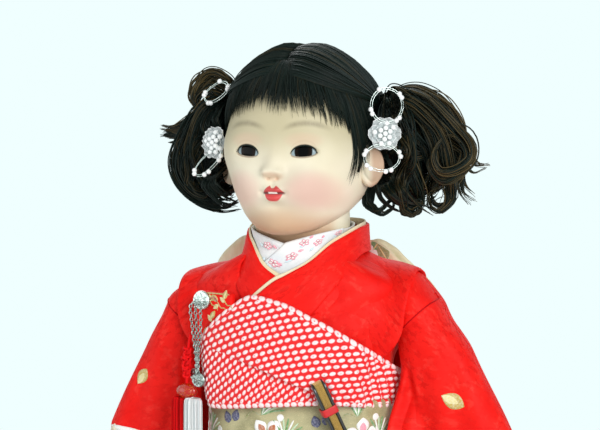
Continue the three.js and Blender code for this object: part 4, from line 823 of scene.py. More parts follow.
# %% Painted shell white
def shell_paint(nodes):
    """Ivory coat with blush, lips, brows and lash lines, and painted shade, each a soft mask of the place on
    the face.
    """
    turn = -FACE_TURN
    shift = (1000 * AXIS[1] * np.sin(turn), -1000 * AXIS[1] * np.cos(turn), 0)
    spot = nodes.node("ShaderNodeTexCoord", out="Object")
    moved = {0: spot, "Scale": (1000, 1000, 1000), "Rotation": (0, 0, turn), "Location": shift}
    place = nodes.node("ShaderNodeMapping", {}, moved)
    x, y, z = nodes.parts(place)
    side = x.size()
    front = y.step(-8, -16)

    def round_patch(at_x, at_z, wide, high):
        return ((((side - at_x) / wide) ** 2.0 + ((z - at_z) / high) ** 2.0)).step(1.0, 0.0) * front

    cloud = nodes.noise(place, 0.05, 2.0)
    colour = nodes.mix(cloud.step(0.3, 0.7), srgb("#e2d9be"), srgb("#eae2ca"))
    # Painted shade: the middle of the face, where the front lamp is strongest, is darkened.
    mid_face_shade = (((x - 14.0) / 18.0) ** 2.0 + ((z - 342.0) / 17.0) ** 2.0).step(1.0, 0.0) * front
    colour = nodes.mix(mid_face_shade * 0.85, colour, srgb("#c8bba6"))
    # Painted shadow of the fringe: the face darkens towards the top.
    colour = nodes.mix(z.step(352, 376) * 0.85 * front, colour, srgb("#bab08c"))
    colour = nodes.mix(round_patch(19.5, 342.0, 16.0, 13.0) * 0.31, colour, srgb("#ec9494"))
    # Painted shade under the chin, with a warm painted reflection of the red kimono.
    colour = nodes.mix(round_patch(4.0, 319.0, 30.0, 19.0) * 0.9, colour, srgb("#c39a77"))
    # Painted shade under the nose.
    colour = nodes.mix(round_patch(0.0, NOSE_Z - 3.6, 7.5, 3.4) * 0.4, colour, srgb("#d9a07c"))
    # Painted shade in the eye sockets above the upper lids.
    colour = nodes.mix(round_patch(15.5, 368.5, 12.0, 5.0) * 0.28, colour, srgb("#d9a993"))

    # Painted shade of the hair and ornaments over the ears.
    ear = (x * x + (y + 8.0) ** 2.0).step(1500, 1780) * z.step(340, 346) * z.step(372, 364)
    colour = nodes.mix(ear * 0.9, colour, srgb("#c09c80"))

    rise = z - MOUTH_Z
    mid = x - 0.6
    half = mid.size()
    bow = 4.3 * (1 - (half / MOUTH_HALF) ** 2.0) - 1.6 * ((mid / 1.7) ** 2.0).step(1.0, 0.0)
    dish = 4.2 * (1 - (half / (MOUTH_HALF - 0.7)) ** 3.4)
    upper = (bow - rise).step(-0.35, 0.35) * rise.step(-0.3, 0.3) * front
    lower = (dish + rise).step(-0.4, 0.5) * rise.step(0.3, -0.3) * front
    colour = nodes.mix(upper * 0.95, colour, srgb("#c0242a"))
    colour = nodes.mix(lower * 0.95, colour, srgb("#cf2a30"))
    # Painted shade in the open mouth: a dark line between the lips.
    parting = rise.size().step(0.95, 0.25) * half.step(MOUTH_HALF + 0.9, MOUTH_HALF - 0.8) * front
    colour = nodes.mix(parting * 0.85, colour, srgb("#4c1613"))
    teeth = (rise - 0.25).size().step(0.6, 0.35) * (mid + 0.2).size().step(2.7, 2.1) * front
    colour = nodes.mix(teeth, colour, srgb("#f2eee4"))
    # Painted shade in the nostrils.
    nostril = ((((side - 2.5) / 1.3) ** 2.0 + ((z - (NOSE_Z - 4.9)) / 0.9) ** 2.0)).step(1.0, 0.1) * front
    colour = nodes.mix(nostril * 0.25, colour, srgb("#a4603f"))

    along = side - 16.4
    brow = z - (BROW_Z - 0.022 * along ** 2.0)
    fade = along.size().step(13.5, 5.0)
    hairs = nodes.noise(nodes.node("ShaderNodeMapping", {}, {0: place, "Scale": (1.6, 1.0, 0.5)}), 0.9, 2.0)
    brow = brow.size().step(2.5, 0.0) * fade * front * (0.5 + hairs * 0.55)
    colour = nodes.mix(brow * 0.62, colour, srgb("#6a5e48"))

    share = (side - EYE_IN) / EYE_WIDE
    arch = (4.0 * share * (1 - share)).most(0.0)
    level = EYE_Z_IN + (EYE_Z_OUT - EYE_Z_IN) * share
    over = z - level - LID_UP * arch ** 0.55
    under = z - level + LID_DOWN * arch ** 0.6
    at_eye = share.step(-0.03, 0.04) * share.step(1.05, 0.98) * front
    # Painted shade along the crease above each eye.
    crease = (over - 2.6).size().step(0.75, 0.1) * at_eye
    colour = nodes.mix(crease * 0.1, colour, srgb("#a9765c"))
    lash = (over - 0.25).size().step(0.85, 0.25) * at_eye
    colour = nodes.mix(lash * 0.9, colour, srgb("#2a1d17"))
    low_lash = (under + 0.3).size().step(0.6, 0.1) * at_eye
    colour = nodes.mix(low_lash * 0.55, colour, srgb("#7c5443"))
    # Painted shade: the skin inside the lids is near black where it shows round the glass.
    inside = under.step(-0.1, 0.3) * over.step(0.2, -0.2) * at_eye
    colour = nodes.mix(inside, colour, srgb("#1b1210"))
    gloss = nodes.noise(place, 0.35, 2.0)
    return {"Base Color": colour, "Roughness": 0.5 + gloss * 0.14 - (upper + lower) * 0.14}


def bare_shell_paint(nodes):
    cloud = nodes.noise(nodes.here(), 0.05, 2.0)
    ivory = nodes.mix(cloud.step(0.3, 0.7), srgb("#e2d8bd"), srgb("#eae1ca"))
    return {"Base Color": ivory, "Roughness": 0.5 + cloud * 0.12}


painted_shell = finish("painted_shell_white", shell_paint, coat_weight=0.06, coat_roughness=0.4)
bare_shell = finish("shell_white", bare_shell_paint, coat_weight=0.06, coat_roughness=0.4)
print("face is painted by", len(painted_shell.node_tree.nodes), "nodes")

# %% Head mesh
head = Piece()
sweep = np.linspace(-1, 1, 260, endpoint=False)
angle = (-np.pi / 2 + np.pi * (0.55 * sweep + 0.45 * sweep ** 3))[None]
level = (CHIN + FACE * np.r_[0.005, 0.012, 0.021, np.linspace(0.03, 0.985, 196), 0.992, 1.0])[:, None]
bare = skull(angle, level)
facing = ramp(-np.sin(angle), 0.1, 0.5)
head.skin(away(skull, angle, level, facing * face_relief(bare[..., 0], level)))
turn = once_round(48)
neck_z = np.linspace(297.4, 338, 12)[:, None]
neck_r = 15 + 10.3 * ramp(neck_z, 304, 322)
head.skin(stack(neck_r * np.cos(turn), neck_r * np.sin(turn) - 1.5 * ramp(neck_z, 310, 334), neck_z))

# %% Ears
def ear_form(side):
    """Shell of an ear on its own plane: rings of an oval, raised at the rim and hollow in the middle."""
    share = np.linspace(1.0, 0.03, 16)[:, None]
    round_ = once_round(44)
    lobe = 1 - 0.16 * ramp(-np.sin(round_), 0.2, 1.0)
    wide, tall = 8.0 * share * np.cos(round_) * lobe, 11.0 * share * np.sin(round_)
    rise = 3.0 * np.sqrt(np.maximum(1 - share ** 6, 0)) + 1.1 * hump(share, 0.8, 0.13)
    rise = rise - 2.0 * hump(np.hypot(wide + 1.6, 0.7 * (tall + 1)), 0, 4.2)
    across, out = np.array([0.6, 0.8, 0.0]), np.array([0.8, -0.6, 0.0])
    front = EAR_AT + wide[..., None] * across + rise[..., None] * out
    front[..., 2] += tall
    back = EAR_AT + 0.9 * wide[..., None] * across - (1.6 * (1 - share ** 4))[..., None] * out
    back[..., 2] += 0.9 * tall
    return mirrored(np.concatenate([back[::-1], front]), side)


for side in (1, -1):
    head.skin(ear_form(side))
head.points = [turned(points) for points in head.points]
head.make("head_face", "head", painted_shell, "shell_white", replaces=["head_shell"])

# %% [markdown]
# ## Eyes
# The eyes are painted glass set behind the lids: a dark iris that nearly fills the opening, a grey-blue white
# at the corners and a wet surface. Each one is a thin lens with the outline of the lids, a little behind the
# shell.

# %% Glass eyes and lashes
def eye_paint(nodes):
    """Iris and pupil by the distance from the middle of the lens, written into each point."""
    out = nodes.tint()
    depth = nodes.noise(nodes.here(), 0.8, 2.0)
    colour = nodes.mix(out.step(0.85, 0.45), srgb("#1a100a"), srgb("#030202"))
    colour = nodes.mix(out.step(0.94, 1.08) * 0.9, colour, srgb("#9fb2b8"))
    return {"Base Color": colour, "Roughness": 0.12 + depth * 0.06}


eye_glass = finish("eye_glass", eye_paint, specular_ior_level=0.08)
for name, side in SIDES:
    share = np.linspace(0.0, 1.0, 42)[:, None]
    rise = np.linspace(0.0, 1.0, 20)[None]
    low, high = lids(share)
    x = side * (EYE_IN + EYE_WIDE * share) + 0 * rise
    z = lerp(low - 0.25, high + 0.25, rise)
    dome = (1 - (2 * share - 1) ** 2) * (1 - (2 * rise - 1) ** 2)
    lens = stack(x, socket_y(x, z) + 0.75 - 0.8 * dome, z)
    iris = np.hypot((np.abs(x) - EYE_IN - 0.48 * EYE_WIDE) / 4.5, (z - 362.9) / 5.8)
    eye = Piece().slab(turned(lens), turned(lens + np.array([0, 0.7, 0])), tint=iris)
    eye.make(f"{name}_glass_eye", "head", eye_glass, "eye_glass", replaces=[f"{name}_eye"])

lash = Piece()
share = np.linspace(-0.02, 1.06, 26)
for side in (1, -1):
    height = lids(np.clip(share, 0, 1))[1] + 0.15
    x = EYE_IN + EYE_WIDE * share
    path = turned(stack(side * x, socket_y(x, height) - 0.25, height))
    thin = 0.12 + 0.3 * np.sin(np.pi * np.linspace(0, 1, len(share))) ** 0.7
    threads(lash, path[None], thin[None], sides=4, tint=[0.2])
lash.make("lash_lines", "head", hair, "hair")

# %% [markdown]
# ## Hair
# The wig is straight silk hair, parted in the middle and drawn sideways into two bunches, with a loose
# fringe. A particle system would do, but it leaves no mesh to keep, so each strand is a three-sided thread on
# a path: from the parting over the crown to the root of a bunch, down the forehead, or round and round in a
# curl. A dark shell under the strands hides the skull. Every strand has its own tone, which gives the streaks
# of sheen.

# %% Crown
HAIR_MIDDLE, HAIR_HALF = np.array([0.0, 2.0, 362.0]), np.array([46.6, 51.0, 57.2])
BUNCH_ROOT = {1: np.array([43.5, 6.0, 388.0]), -1: np.array([-43.0, 10.0, 388.0])}
ROOT_WAY = {side: unit((root - HAIR_MIDDLE) / HAIR_HALF) for side, root in BUNCH_ROOT.items()}
PART_FRONT, PART_BACK, NAPE, NAPE_EDGES = np.radians(-44), np.radians(119), -0.43, (-0.03, 1.6)
NAPE_STRANDS, CROWN_STRANDS, FRINGE_STRANDS = 520, 900, 1650


def on_hair(first, middle, side, share, height):
    """Strand on the hair's ball, on a bent line of directions from first past middle to a bunch."""
    t = share[..., None]
    aim = unit(first * (1 - t) ** 2 + middle * 2 * t * (1 - t) + ROOT_WAY[side] * t * t)
    return HAIR_MIDDLE + HAIR_HALF * aim * height[..., None]


def crown_point(side, start, share, lift=1.0):
    """Strand over the crown, from the parting at an angle to the root of a bunch."""
    start, share = np.broadcast_arrays(np.asarray(start, float), np.asarray(share, float))
    first = stack(0.012 * side, np.sin(start), np.cos(start))
    middle = stack(0.78 * side, 1.02 * np.sin(start), 0.3 + 0.3 * np.maximum(np.cos(start), -0.6))
    groove = 1 - 0.035 * hump(share, 0, 0.07) - 0.03 * ramp(share, 0.75, 1.0)
    return on_hair(first, middle, side, share, groove * lift)


def nape_point(side, round_, share, lift=1.0):
    """Strand up from the hairline at the back to the root of the bunch on its side."""
    round_, share = np.broadcast_arrays(np.asarray(round_, float), np.asarray(share, float))
    rise = NAPE + 0.2 * ramp(round_, 0.5, 1.5)
    level_ = np.sqrt(1 - rise ** 2)
    first = stack(side * np.sin(round_) * level_, np.cos(round_) * level_, rise)
    middle = 0.6 * first + 0.4 * ROOT_WAY[side] + stack(0, 0.35, 0.25)
    hug = lerp(0.9, 0.985, ramp(share, 0, 0.35)) - 0.03 * ramp(share, 0.75, 1.0)
    return on_hair(first, middle, side, share, hug * lift)


crown = Piece()
for side in (1, -1):
    round_ = np.linspace(*NAPE_EDGES, 40)[:, None]
    share = np.linspace(0, 1, 20)[None]
    crown.slab(nape_point(side, round_, share, 0.985), nape_point(side, round_, share, 0.9))
    count = NAPE_STRANDS
    round_ = np.sort(dice.uniform(*NAPE_EDGES, count))[:, None]
    paths = nape_point(side, round_, np.linspace(0, 1, 12)[None], 0.985 + 0.018 * dice.random((count, 1)))
    paths = paths + 0.3 * dice.normal(size=(count, 1, 3))
    threads(crown, paths, 0.28 + 0.14 * dice.random((count, 1)), tint=dice.random(count) ** 1.6 * 0.6)
    start = np.linspace(PART_FRONT, PART_BACK, 60)[:, None]
    share = np.linspace(-0.03, 1, 31)[None]
    crown.slab(crown_point(side, start, share, 0.985), crown_point(side, start, share, 0.9))
    count = CROWN_STRANDS
    start = np.sort(PART_FRONT + (PART_BACK - PART_FRONT) * dice.random(count) ** 1.15)[:, None]
    lift = 0.99 + 0.018 * dice.random((count, 1))
    lift = lift + 0.004 * np.sin(np.linspace(0, 9, 16))[None] * dice.random((count, 1))
    paths = crown_point(side, start, np.linspace(0, 1, 16)[None], lift)
    paths = paths + 0.35 * dice.normal(size=(count, 1, 3))
    threads(crown, paths, 0.3 + 0.15 * dice.random((count, 1)), tint=dice.random(count) ** 1.6 * 0.62)
crown.points = [turned(points) for points in crown.points]
crown.make("crown_strands", "head", hair, "hair", replaces=["crown_hair"])

# %% Fringe and sidelocks
fringe = Piece()
FRINGE_TOP = 406.0
tip_at = stations([
    (-92, 364), (-80, 368), (-68, 379), (-57, 382), (-37, 384.5), (-26, 387), (-12, 389.5), (4, 387),
    (28, 384.5), (44, 380.5), (57, 376.5), (62, 371.5), (65, 365), (67, 357), (68.5, 349), (70.5, 353),
    (73, 360), (78, 365), (92, 366),
])


def fringe_point(degrees, fall, tip, lift):
    """Strand down the forehead: it fans out from the parting and lies on the skull at a small height."""
    z = lerp(FRINGE_TOP, tip, fall)
    spread = degrees * lerp(0.72, 1.0, fall ** 0.8)
    return away(skull, np.radians(spread - 90), z, lift)


degrees, fall = np.linspace(-92, 92, 140)[:, None], np.linspace(0, 1, 12)[None]
side_hair = ramp(np.abs(degrees), 44, 60)
ragged = 2.0 * np.sin(0.71 * degrees) * np.sin(0.37 * degrees + 1)
under_tip = tip_at(degrees)[..., 0] + lerp(9.5, 3.5, side_hair) + ragged
thick = lerp(3.0, 1.2, fall ** 2)
fringe.slab(fringe_point(degrees, fall, under_tip, thick), fringe_point(degrees, fall, under_tip, 0.3))
count = FRINGE_STRANDS
degrees = dice.uniform(-92, 92, count)[:, None]
clump = 1.8 * np.sin(0.9 * degrees) + 1.8 * dice.normal(size=(count, 1)) - 5.0 * hump(degrees, 68.5, 2.4)
short = dice.random((count, 1)) ** 0.9 * lerp(13.0, 5.0, ramp(np.abs(degrees), 44, 60))
tip = tip_at(degrees)[..., 0] + short - 5.2 + 1.3 * np.sin(0.75 * degrees)
fall = np.linspace(0, 1, 10)[None]
lift = (3.0 + 1.4 * dice.random((count, 1))) * (1 - 0.6 * fall ** 2) + 0.4 * np.sin(np.pi * fall)
paths = fringe_point(degrees + clump * fall ** 2, fall, tip, lift)
thin = (0.2 + 0.12 * dice.random((count, 1))) * (1 - 0.88 * fall ** 3)
threads(fringe, paths, thin, tint=dice.random(count) ** 1.4 * 0.6)
fringe.points = [turned(points) for points in fringe.points]
fringe.make("fringe_strands", "head", hair, "hair", replaces=["fringe"])

# %% [markdown]
# ## Curled bunches
# Each bunch hangs from its tie as a ball of loose waves. A lock leaves the tie, arches over and runs down
# round the ball, and on the way it swings in a wave and ends in a ringlet. Every lock is some thirty strands
# that keep their place in its flat section. Where the outer locks stand apart the light shows through, as on
# the real one.

# %% Bunches
def lock_path(root, middle, half, round_, twist, shell, end):
    """Control points of one lock: out of the tie, in an arch, then down over an oval ball."""
    down = np.linspace(0.2 if middle[0] > 0 else 0.32, end, 7)
    turn_ = round_ + twist * np.linspace(0, 1, 7)
    over = middle + shell * half * sphere(np.pi * down, turn_)
    side = np.sign(middle[0])
    out = root + np.array([side * 6.0, 0, 2.0])
    arch = lerp(out, over[0], 0.5) + np.array([0, 0, 3.0])
    return np.concatenate([[root - np.array([side * 3.0, 0, 0]), out, arch], over])


def ringlet(path, towards, size, turn_, steps):
    """Curl at the end of a lock: a circle in the plane of its own way and a side, closing as it goes."""
    ahead = unit(path[-1] - path[-3])
    aside = unit(towards - ahead * np.dot(towards, ahead))
    angle_ = np.linspace(0, turn_, steps + 1)[1:, None]
    close = size * (1 - 0.3 * angle_ / turn_)
    curl = close * (np.sin(angle_) * ahead + (1 - np.cos(angle_)) * aside)
    return np.concatenate([path, path[-1] + curl])


def lay_strands(piece, path, count, wide, thick, shade, rng):
    """Strands of a lock, each at its place in a flat section that opens at the tie and closes at the tip."""
    share = np.linspace(0, 1, len(path))
    normal, binormal = frames(path)
    step = share * rng.uniform(0.82, 1.0, (count, 1)) * (len(path) - 1.001)
    whole = step.astype(int)
    part = (step - whole)[..., None]
    along = lerp(path[whole], path[whole + 1], part)
    spot = np.sqrt(rng.random((2, count, 1))) * rng.choice([-1, 1], (2, count, 1))
    open_ = lerp(0.5, 1.0, ramp(share, 0.04, 0.3)) * lerp(1, 0.12, ramp(share, 0.55, 1))
    phase = share * rng.uniform(1, 3, (count, 1)) + rng.random((count, 1))
    wave = np.sin(6.28 * phase) * ramp(share, 0.1, 0.4)
    loose = open_ * np.where(rng.random((count, 1)) < 0.1, 1.8, 1.0)
    offset = (wide * spot[0] * loose + 0.4 * wave)[..., None] * binormal[whole]
    offset = offset + (thick * spot[1] * loose + 0.3 * wave)[..., None] * normal[whole]
    thin = (0.26 + 0.14 * rng.random((count, 1))) * lerp(1.0, 0.4, ramp(share, 0.75, 1))
    threads(piece, along + offset, thin, tint=np.clip(0.1 + 0.6 * rng.random(count) ** 1.3 + shade, 0, 1))


def bunch(side, middle, half, locks, strands, seed):
    """Ball of waved locks that end in small curls; the wave grows from nothing at the tie."""
    rng = np.random.default_rng(seed)
    piece, root = Piece(), BUNCH_ROOT[side]
    share = np.linspace(0, 1, 42)
    for k in range(locks):
        shell = (0.96, 0.84, 0.62)[k % 3] * rng.uniform(0.88, 1.06)
        round_ = 2 * np.pi * (k * 0.381966 + 0.04 * rng.normal())
        twist = side * rng.uniform(0.1, 1.4)
        path = smooth_path(lock_path(root, middle, half, round_, twist, shell, rng.uniform(0.5, 0.92)), 28)
        inward = unit(middle - path[-1]) + 0.7 * rng.normal(size=3) + np.array([0, 0, 0.5])
        path = ringlet(path, inward, rng.uniform(3.0, 7.0), rng.uniform(2.4, 6.0), 14)
        normal, binormal = frames(path)
        coil = 2 * np.pi * (rng.uniform(0.8, 1.7) * share + rng.random())
        reach = rng.uniform(1.0, 3.2) * ramp(share, 0.12, 0.5) * ramp(share, 0.85, 0.6)
        path = path + (reach * np.cos(coil))[:, None] * normal
        path = path + (0.5 * reach * np.sin(coil))[:, None] * binormal
        # Painted highlight and shade: outer locks browner, inner ones darker, and the bunch away from the
        # front lamp darker.
        shade = (0.16, 0.04, -0.1)[k % 3] - (0.0 if side > 0 else 0.14)
        lay_strands(piece, path, strands, 4.0, 1.4, shade, rng)
    return piece


def swirl(way, centre, size, first, sweep):
    """Lock that ends in a round curl: degrees from the doll's left, in the plane of its front."""
    angle_ = np.radians(first + sweep * np.linspace(0, 1, 9))
    close = size * lerp(1.0, 0.72, np.linspace(0, 1, 9))
    curl = stack(close * np.cos(angle_), 0.35 * close * np.sin(angle_), close * np.sin(angle_))
    return [*way, *(np.array(centre) + curl)]


# Locks with a tone each: higher on upper and outer locks as painted highlight, lower inside as painted shade.
LOCKS = {
    1: [
        (swirl([(54, 1, 391), (67, -4, 387), (77, -7, 379)], (81.5, -8, 360.5), 11.0, 80, -400), 0.28),
        (swirl([(48, -6, 382), (44, -2, 360), (37, 3, 346)], (42.5, 5, 336.5), 6.8, 170, 250), -0.1),
        ([(50, -5, 380), (46, -4, 357), (44, -1, 342), (50, 2, 334), (61, 2, 332)], -0.1),
        ([(48, -6, 384), (51, -9, 358), (48, -6, 342), (55, -2, 333), (66, 0, 335)], 0.0),
        (swirl([(55, -9, 384), (60, -11, 362), (55, -6, 346)], (60, 0, 335), 5.2, 180, 290), 0.1),
        (swirl([(60, -5, 388), (75, -7, 374), (80, -3, 352)], (73, 3, 339), 6.4, 20, -280), 0.15),
        ([(62, 4, 389), (79, 3, 379), (87, 4, 363), (92, 6, 354), (99, 6, 355)], 0.3),
        ([(58, -2, 388), (74, 0, 375), (85, 4, 354), (85, 8, 342), (92, 8, 337)], 0.2),
        ([(54, 2, 392), (65, 1, 391), (77, 0, 383), (85, 1, 368), (85, 3, 352), (78, 4, 341)], 0.32),
        ([(56, 0, 391), (68, -3, 384), (77, -4, 371), (79, -4, 357), (72, -4, 343)], 0.2),
        ([(52, -4, 390), (58, -10, 370), (54, -8, 350), (60, -4, 336), (70, 0, 332)], 0.0),
    ],
    -1: [
        ([(-43, 4, 397), (-50, 2, 402), (-59, 2, 398), (-63, 3, 390), (-58, 4, 381)], 0.4),
        ([(-46, 3, 394), (-54, 1, 396), (-60, 2, 389), (-57, 2, 380)], 0.2),
        ([(-51, 3, 388), (-60, 4, 381), (-72, 6, 376.5), (-84, 8, 376)], 0.3),
        ([(-52, 3, 386), (-62, 5, 378), (-73, 6, 373.5), (-85, 8, 373)], 0.2),
        ([(-53, 4, 384), (-63, 5, 375), (-74, 7, 371), (-84, 8, 370.5)], 0.1),
        ([(-54, 4, 381), (-64, 5, 372), (-74, 7, 368), (-82, 8, 368)], 0.0),
        ([(-54, 4, 384), (-66, 4, 370), (-73, 4, 354), (-64, 2, 338), (-48, 0, 330), (-35, -2, 332)], 0.0),
        ([(-52, 2, 382), (-62, 1, 366), (-65, 1, 350), (-55, -1, 338), (-42, -3, 333), (-33, -3, 336)], -0.1),
        ([(-46, -6, 378), (-46, -15, 364), (-46, -18, 350), (-42, -15, 340), (-36, -9, 336)], -0.1),
        ([(-48, -4, 380), (-49, -13, 362), (-49, -14, 346), (-43, -11, 337), (-35, -7, 334)], -0.1),
        ([(-52, 0, 385), (-58, -3, 362), (-54, -4, 347), (-45, -5, 339), (-36, -5, 340)], 0.0),
        (swirl([(-52, -2, 384), (-60, -3, 364)], (-54, -1, 346), 8.0, 160, 240), 0.1),
    ],
}


def stray(piece, middle, half, count, seed):
    """Loose single hairs outside the ball: short waved arcs that stand off from it."""
    rng = np.random.default_rng(seed)
    turn_ = rng.uniform(0, 6.28, (count, 1))
    down = rng.uniform(0.06, 0.85, (count, 1))
    t = np.linspace(0, 1, 14)[None]
    angle_ = turn_ + rng.uniform(-0.7, 0.7, (count, 1)) * t + 0.1 * np.sin(9 * t + turn_)
    fall_ = np.pi * (down + rng.uniform(0.05, 0.25, (count, 1)) * t)
    reach = 0.96 + rng.uniform(0.02, 0.18, (count, 1)) * np.sin(np.pi * t * 0.8)
    reach = reach + 0.03 * np.sin(14 * t + 3 * turn_)
    paths = middle + half * sphere(fall_, angle_) * reach[..., None]
    threads(piece, paths, 0.15, tint=0.3 + rng.random(count) * 0.6)


ORNAMENTS = {
    1: ("left", np.array([48.2, -11.5, 371.5]), (0.5, -0.86, 0.06), ((1.4, 14.5, 1.6), (-1.6, -12.5, 2.4))),
    -1: ("right", np.array([-43.2, -14.6, 366.2]), (-0.42, -0.9, 0.1),
         ((-4.0, 27.0, -1.0), (-3.6, -10.5, 1.6))),
}


def flower_plane(facing):
    """Three directions of a flower: to its side, up along it, and out of its face."""
    out = unit(np.array(facing, float))
    across = unit(np.cross([0.0, 0.0, 1.0], out))
    return np.stack([across, np.cross(out, across), out])


def combed_back(points, side):
    """Hair behind the ornaments: what stands in front of a flower or loop is moved back."""
    centre, facing, loops = ORNAMENTS[side][1:]
    plane = flower_plane(facing)
    ear = (np.array([44.0, -3.0, 352.0]) - centre) @ plane.T
    for at in ((0.0, 0.0, 0.0), *loops, *([ear] if side > 0 else [])):
        middle = centre + np.array(at) @ plane
        depth = (points - middle) @ plane[2]
        wide = np.linalg.norm(points - middle - depth[:, None] * plane[2], axis=1)
        points = points - plane[2] * (np.maximum(depth + 2.5, 0) * ramp(wide, 14, 8))[:, None]
    return points


BALLS = {
    1: ("left", np.array([60.0, 9.0, 363.0]), np.array([22.5, 18.5, 27.0]), 11),
    -1: ("right", np.array([-55.0, 11.0, 356.5]), np.array([18.5, 18.0, 21.5]), 23),
}
for side, (name, middle, half, seed) in BALLS.items():
    curls = bunch(side, middle, half, 36, 26, seed)
    rng = np.random.default_rng(seed + 2)
    for way, shade in LOCKS[side]:
        for k in range(3):
            near = np.array(way, float) + rng.normal(0, 1.4, 3) + rng.normal(0, 0.7, (len(way), 3))
            path = smooth_path([BUNCH_ROOT[side], *near], 60)
            lay_strands(curls, path, 30, 3.2, 1.6, shade, rng)
    stray(curls, middle, half * 1.08, 22, seed + 1)
    t = np.linspace(0.03, np.pi - 0.03, 14)[:, None]
    a = once_round(24)
    lump = 0.62 + 0.08 * np.sin(5 * a + 3 * t) * np.sin(t)
    core = sphere(t, a) * lump[..., None] * half
    curls.skin(core + middle - np.array([side * 6.0, 0, -2.0]))
    curls.points = [combed_back(points, side) for points in curls.points]
    curls.make(f"{name}_curls", "head", hair, "hair", replaces=[f"{name}_bunch"])

    tie = Piece()
    turns = np.linspace(0, 2 * np.pi * 5, 110)
    wound = stack(side * (2.4 + 3.2 * turns / turns[-1]), 5.4 * np.cos(turns), 0.6 + 5.4 * np.sin(turns))
    threads(tie, (BUNCH_ROOT[side] + wound)[None], 0.7, sides=6, tint=[0.1])
    tie.make(f"{name}_hair_tie", "head", hair, "hair", replaces=[f"{name}_bunch_tie"])

# %% [markdown]
# ## Hair ornaments
# On each side a flower of clear organza petals with a cluster of pearls sits on the hair, between an upper
# and a lower loop of doubled silver wire that carries more pearls. Each petal is one cupped sheet whose edge
# is white where the heat sealed it. The loops stand on the flower's own plane, so they lean outwards with it.

# %% Flowers, wires and pearls
PETAL_LONG, PETAL_WIDE, PEARL_R = 8.8, 4.6, 1.35
OUTER, INNER = 6, 5


def petal(plane, centre, turn_, lean):
    """Cupped petal: half-width as the sine of the way along it, rising towards a frilled tip."""
    along = np.linspace(0.06, 1, 14)[:, None]
    side = np.linspace(-1, 1, 15)[None]
    wide = PETAL_WIDE * np.sin(np.pi * (0.04 + 0.82 * along)) ** 0.6
    x, y = PETAL_LONG * along * (1 - 0.1 * side ** 4 * along), wide * side
    frill = 0.5 * np.sin(7 * side + 3 * turn_) * along ** 3
    up = 0.6 + lean * along ** 1.6 * 3.4 + 0.9 * side ** 2 * along + frill
    flat = stack(x * np.cos(turn_) - y * np.sin(turn_), x * np.sin(turn_) + y * np.cos(turn_), up)
    edge = np.maximum(np.abs(side) ** 5, along ** 7)
    return centre + flat @ plane, edge


LOOP_SIZES = {1: ((8.8, 9.4), (9.8, 7.2)), -1: ((9.6, 4.8), (11.6, 4.8))}
LOOP_LEAN = {1: (0.0, 0.0), -1: (0.42, 0.62)}
LOOP_PEARLS = ((118, 40, 26, 192, 207, -42, -56), (150, 166, 212, 230, -80, -62, 5, 24))
for side, (name, centre, facing, loops) in ORNAMENTS.items():
    plane = flower_plane(facing)
    petals = Piece()
    for k in range(OUTER + INNER):
        if k < OUTER:
            leaf_, edge = petal(plane, centre, 2 * np.pi * k / OUTER, 0.4)
        else:
            leaf_, edge = petal(plane, centre, 2 * np.pi * (k + 0.5) / INNER, 1.1)
            leaf_ = centre + (leaf_ - centre) * 0.7
        petals.slab(leaf_, leaf_ - 0.12 * plane[2], tint=edge)
    petals.make(f"{name}_petals", "head", film, "petal_film", replaces=[f"{name}_flower"])

    cluster = Piece()
    ball(cluster, centre + 3.6 * plane[2], PEARL_R)
    for k in range(OUTER + INNER):
        a, reach, high = 2 * np.pi * k / OUTER + 0.4, 2.9, 3.2
        if k >= OUTER:
            a, reach, high = 2 * np.pi * k / INNER + 0.3 * np.sin(4 * k) + 0.4, 5.5, 2.5
        ball(cluster, centre + np.array([reach * np.cos(a), reach * np.sin(a), high]) @ plane, PEARL_R)
    cluster.make(f"{name}_flower_cluster", "head", pearl, "pearl", replaces=[f"{name}_flower_pearls"])

    wires, beads = Piece(), Piece()
    for at, size, lean, spots in zip(loops, LOOP_SIZES[side], LOOP_LEAN[side], LOOP_PEARLS):
        middle = centre + np.array(at) @ plane
        tilt = np.array([[np.cos(lean), np.sin(lean), 0], [-np.sin(lean), np.cos(lean), 0],
                         [0, 0, 1]]) @ plane
        round_ = np.linspace(0, 2 * np.pi, 49)
        for grow in (0.0, -1.0):
            out = 0.3 * np.sin(3 * round_) - 0.5 * grow
            ring = stack((size[0] + grow) * np.cos(round_), (size[1] + grow) * np.sin(round_), out)
            threads(wires, (middle + ring @ tilt)[None], 0.2, sides=5)
        for spot in np.radians(spots):
            on = np.array([side * size[0] * np.cos(spot), size[1] * np.sin(spot), 0.5])
            ball(beads, middle + on @ tilt, PEARL_R, rows=8, cols=12)
        end = (size[0], 0, 0.2) if lean else (0, -np.sign(at[1]) * size[1], 0.2)
        end = middle + np.array(end) @ tilt
        stem = [centre + 0.4 * plane[2] if at[1] < 20 else end + np.array([4.0, 1.0, -7.0]) @ plane, end]
        tube(wires, stem, 0.3, steps=6, sides=5)
    wires.make(f"{name}_wire_loops", "head", silver, "silver",
               replaces=[f"{name}_upper_loop", f"{name}_lower_loop"])
    beads.make(f"{name}_loop_pearls", "head", pearl, "pearl")

# %% [markdown]
# ## Kimono
# The body of the kimono is one wrapped garment from the hem to the neck. Its surface is a soft rectangle in
# plan, which narrows at the waist and widens at the shoulders, with shallow folds moved along the normal. The
# cloth has an outer and an inner side, so the hem and the neck show a real edge. Cloth millimetres go along
# as its UV.

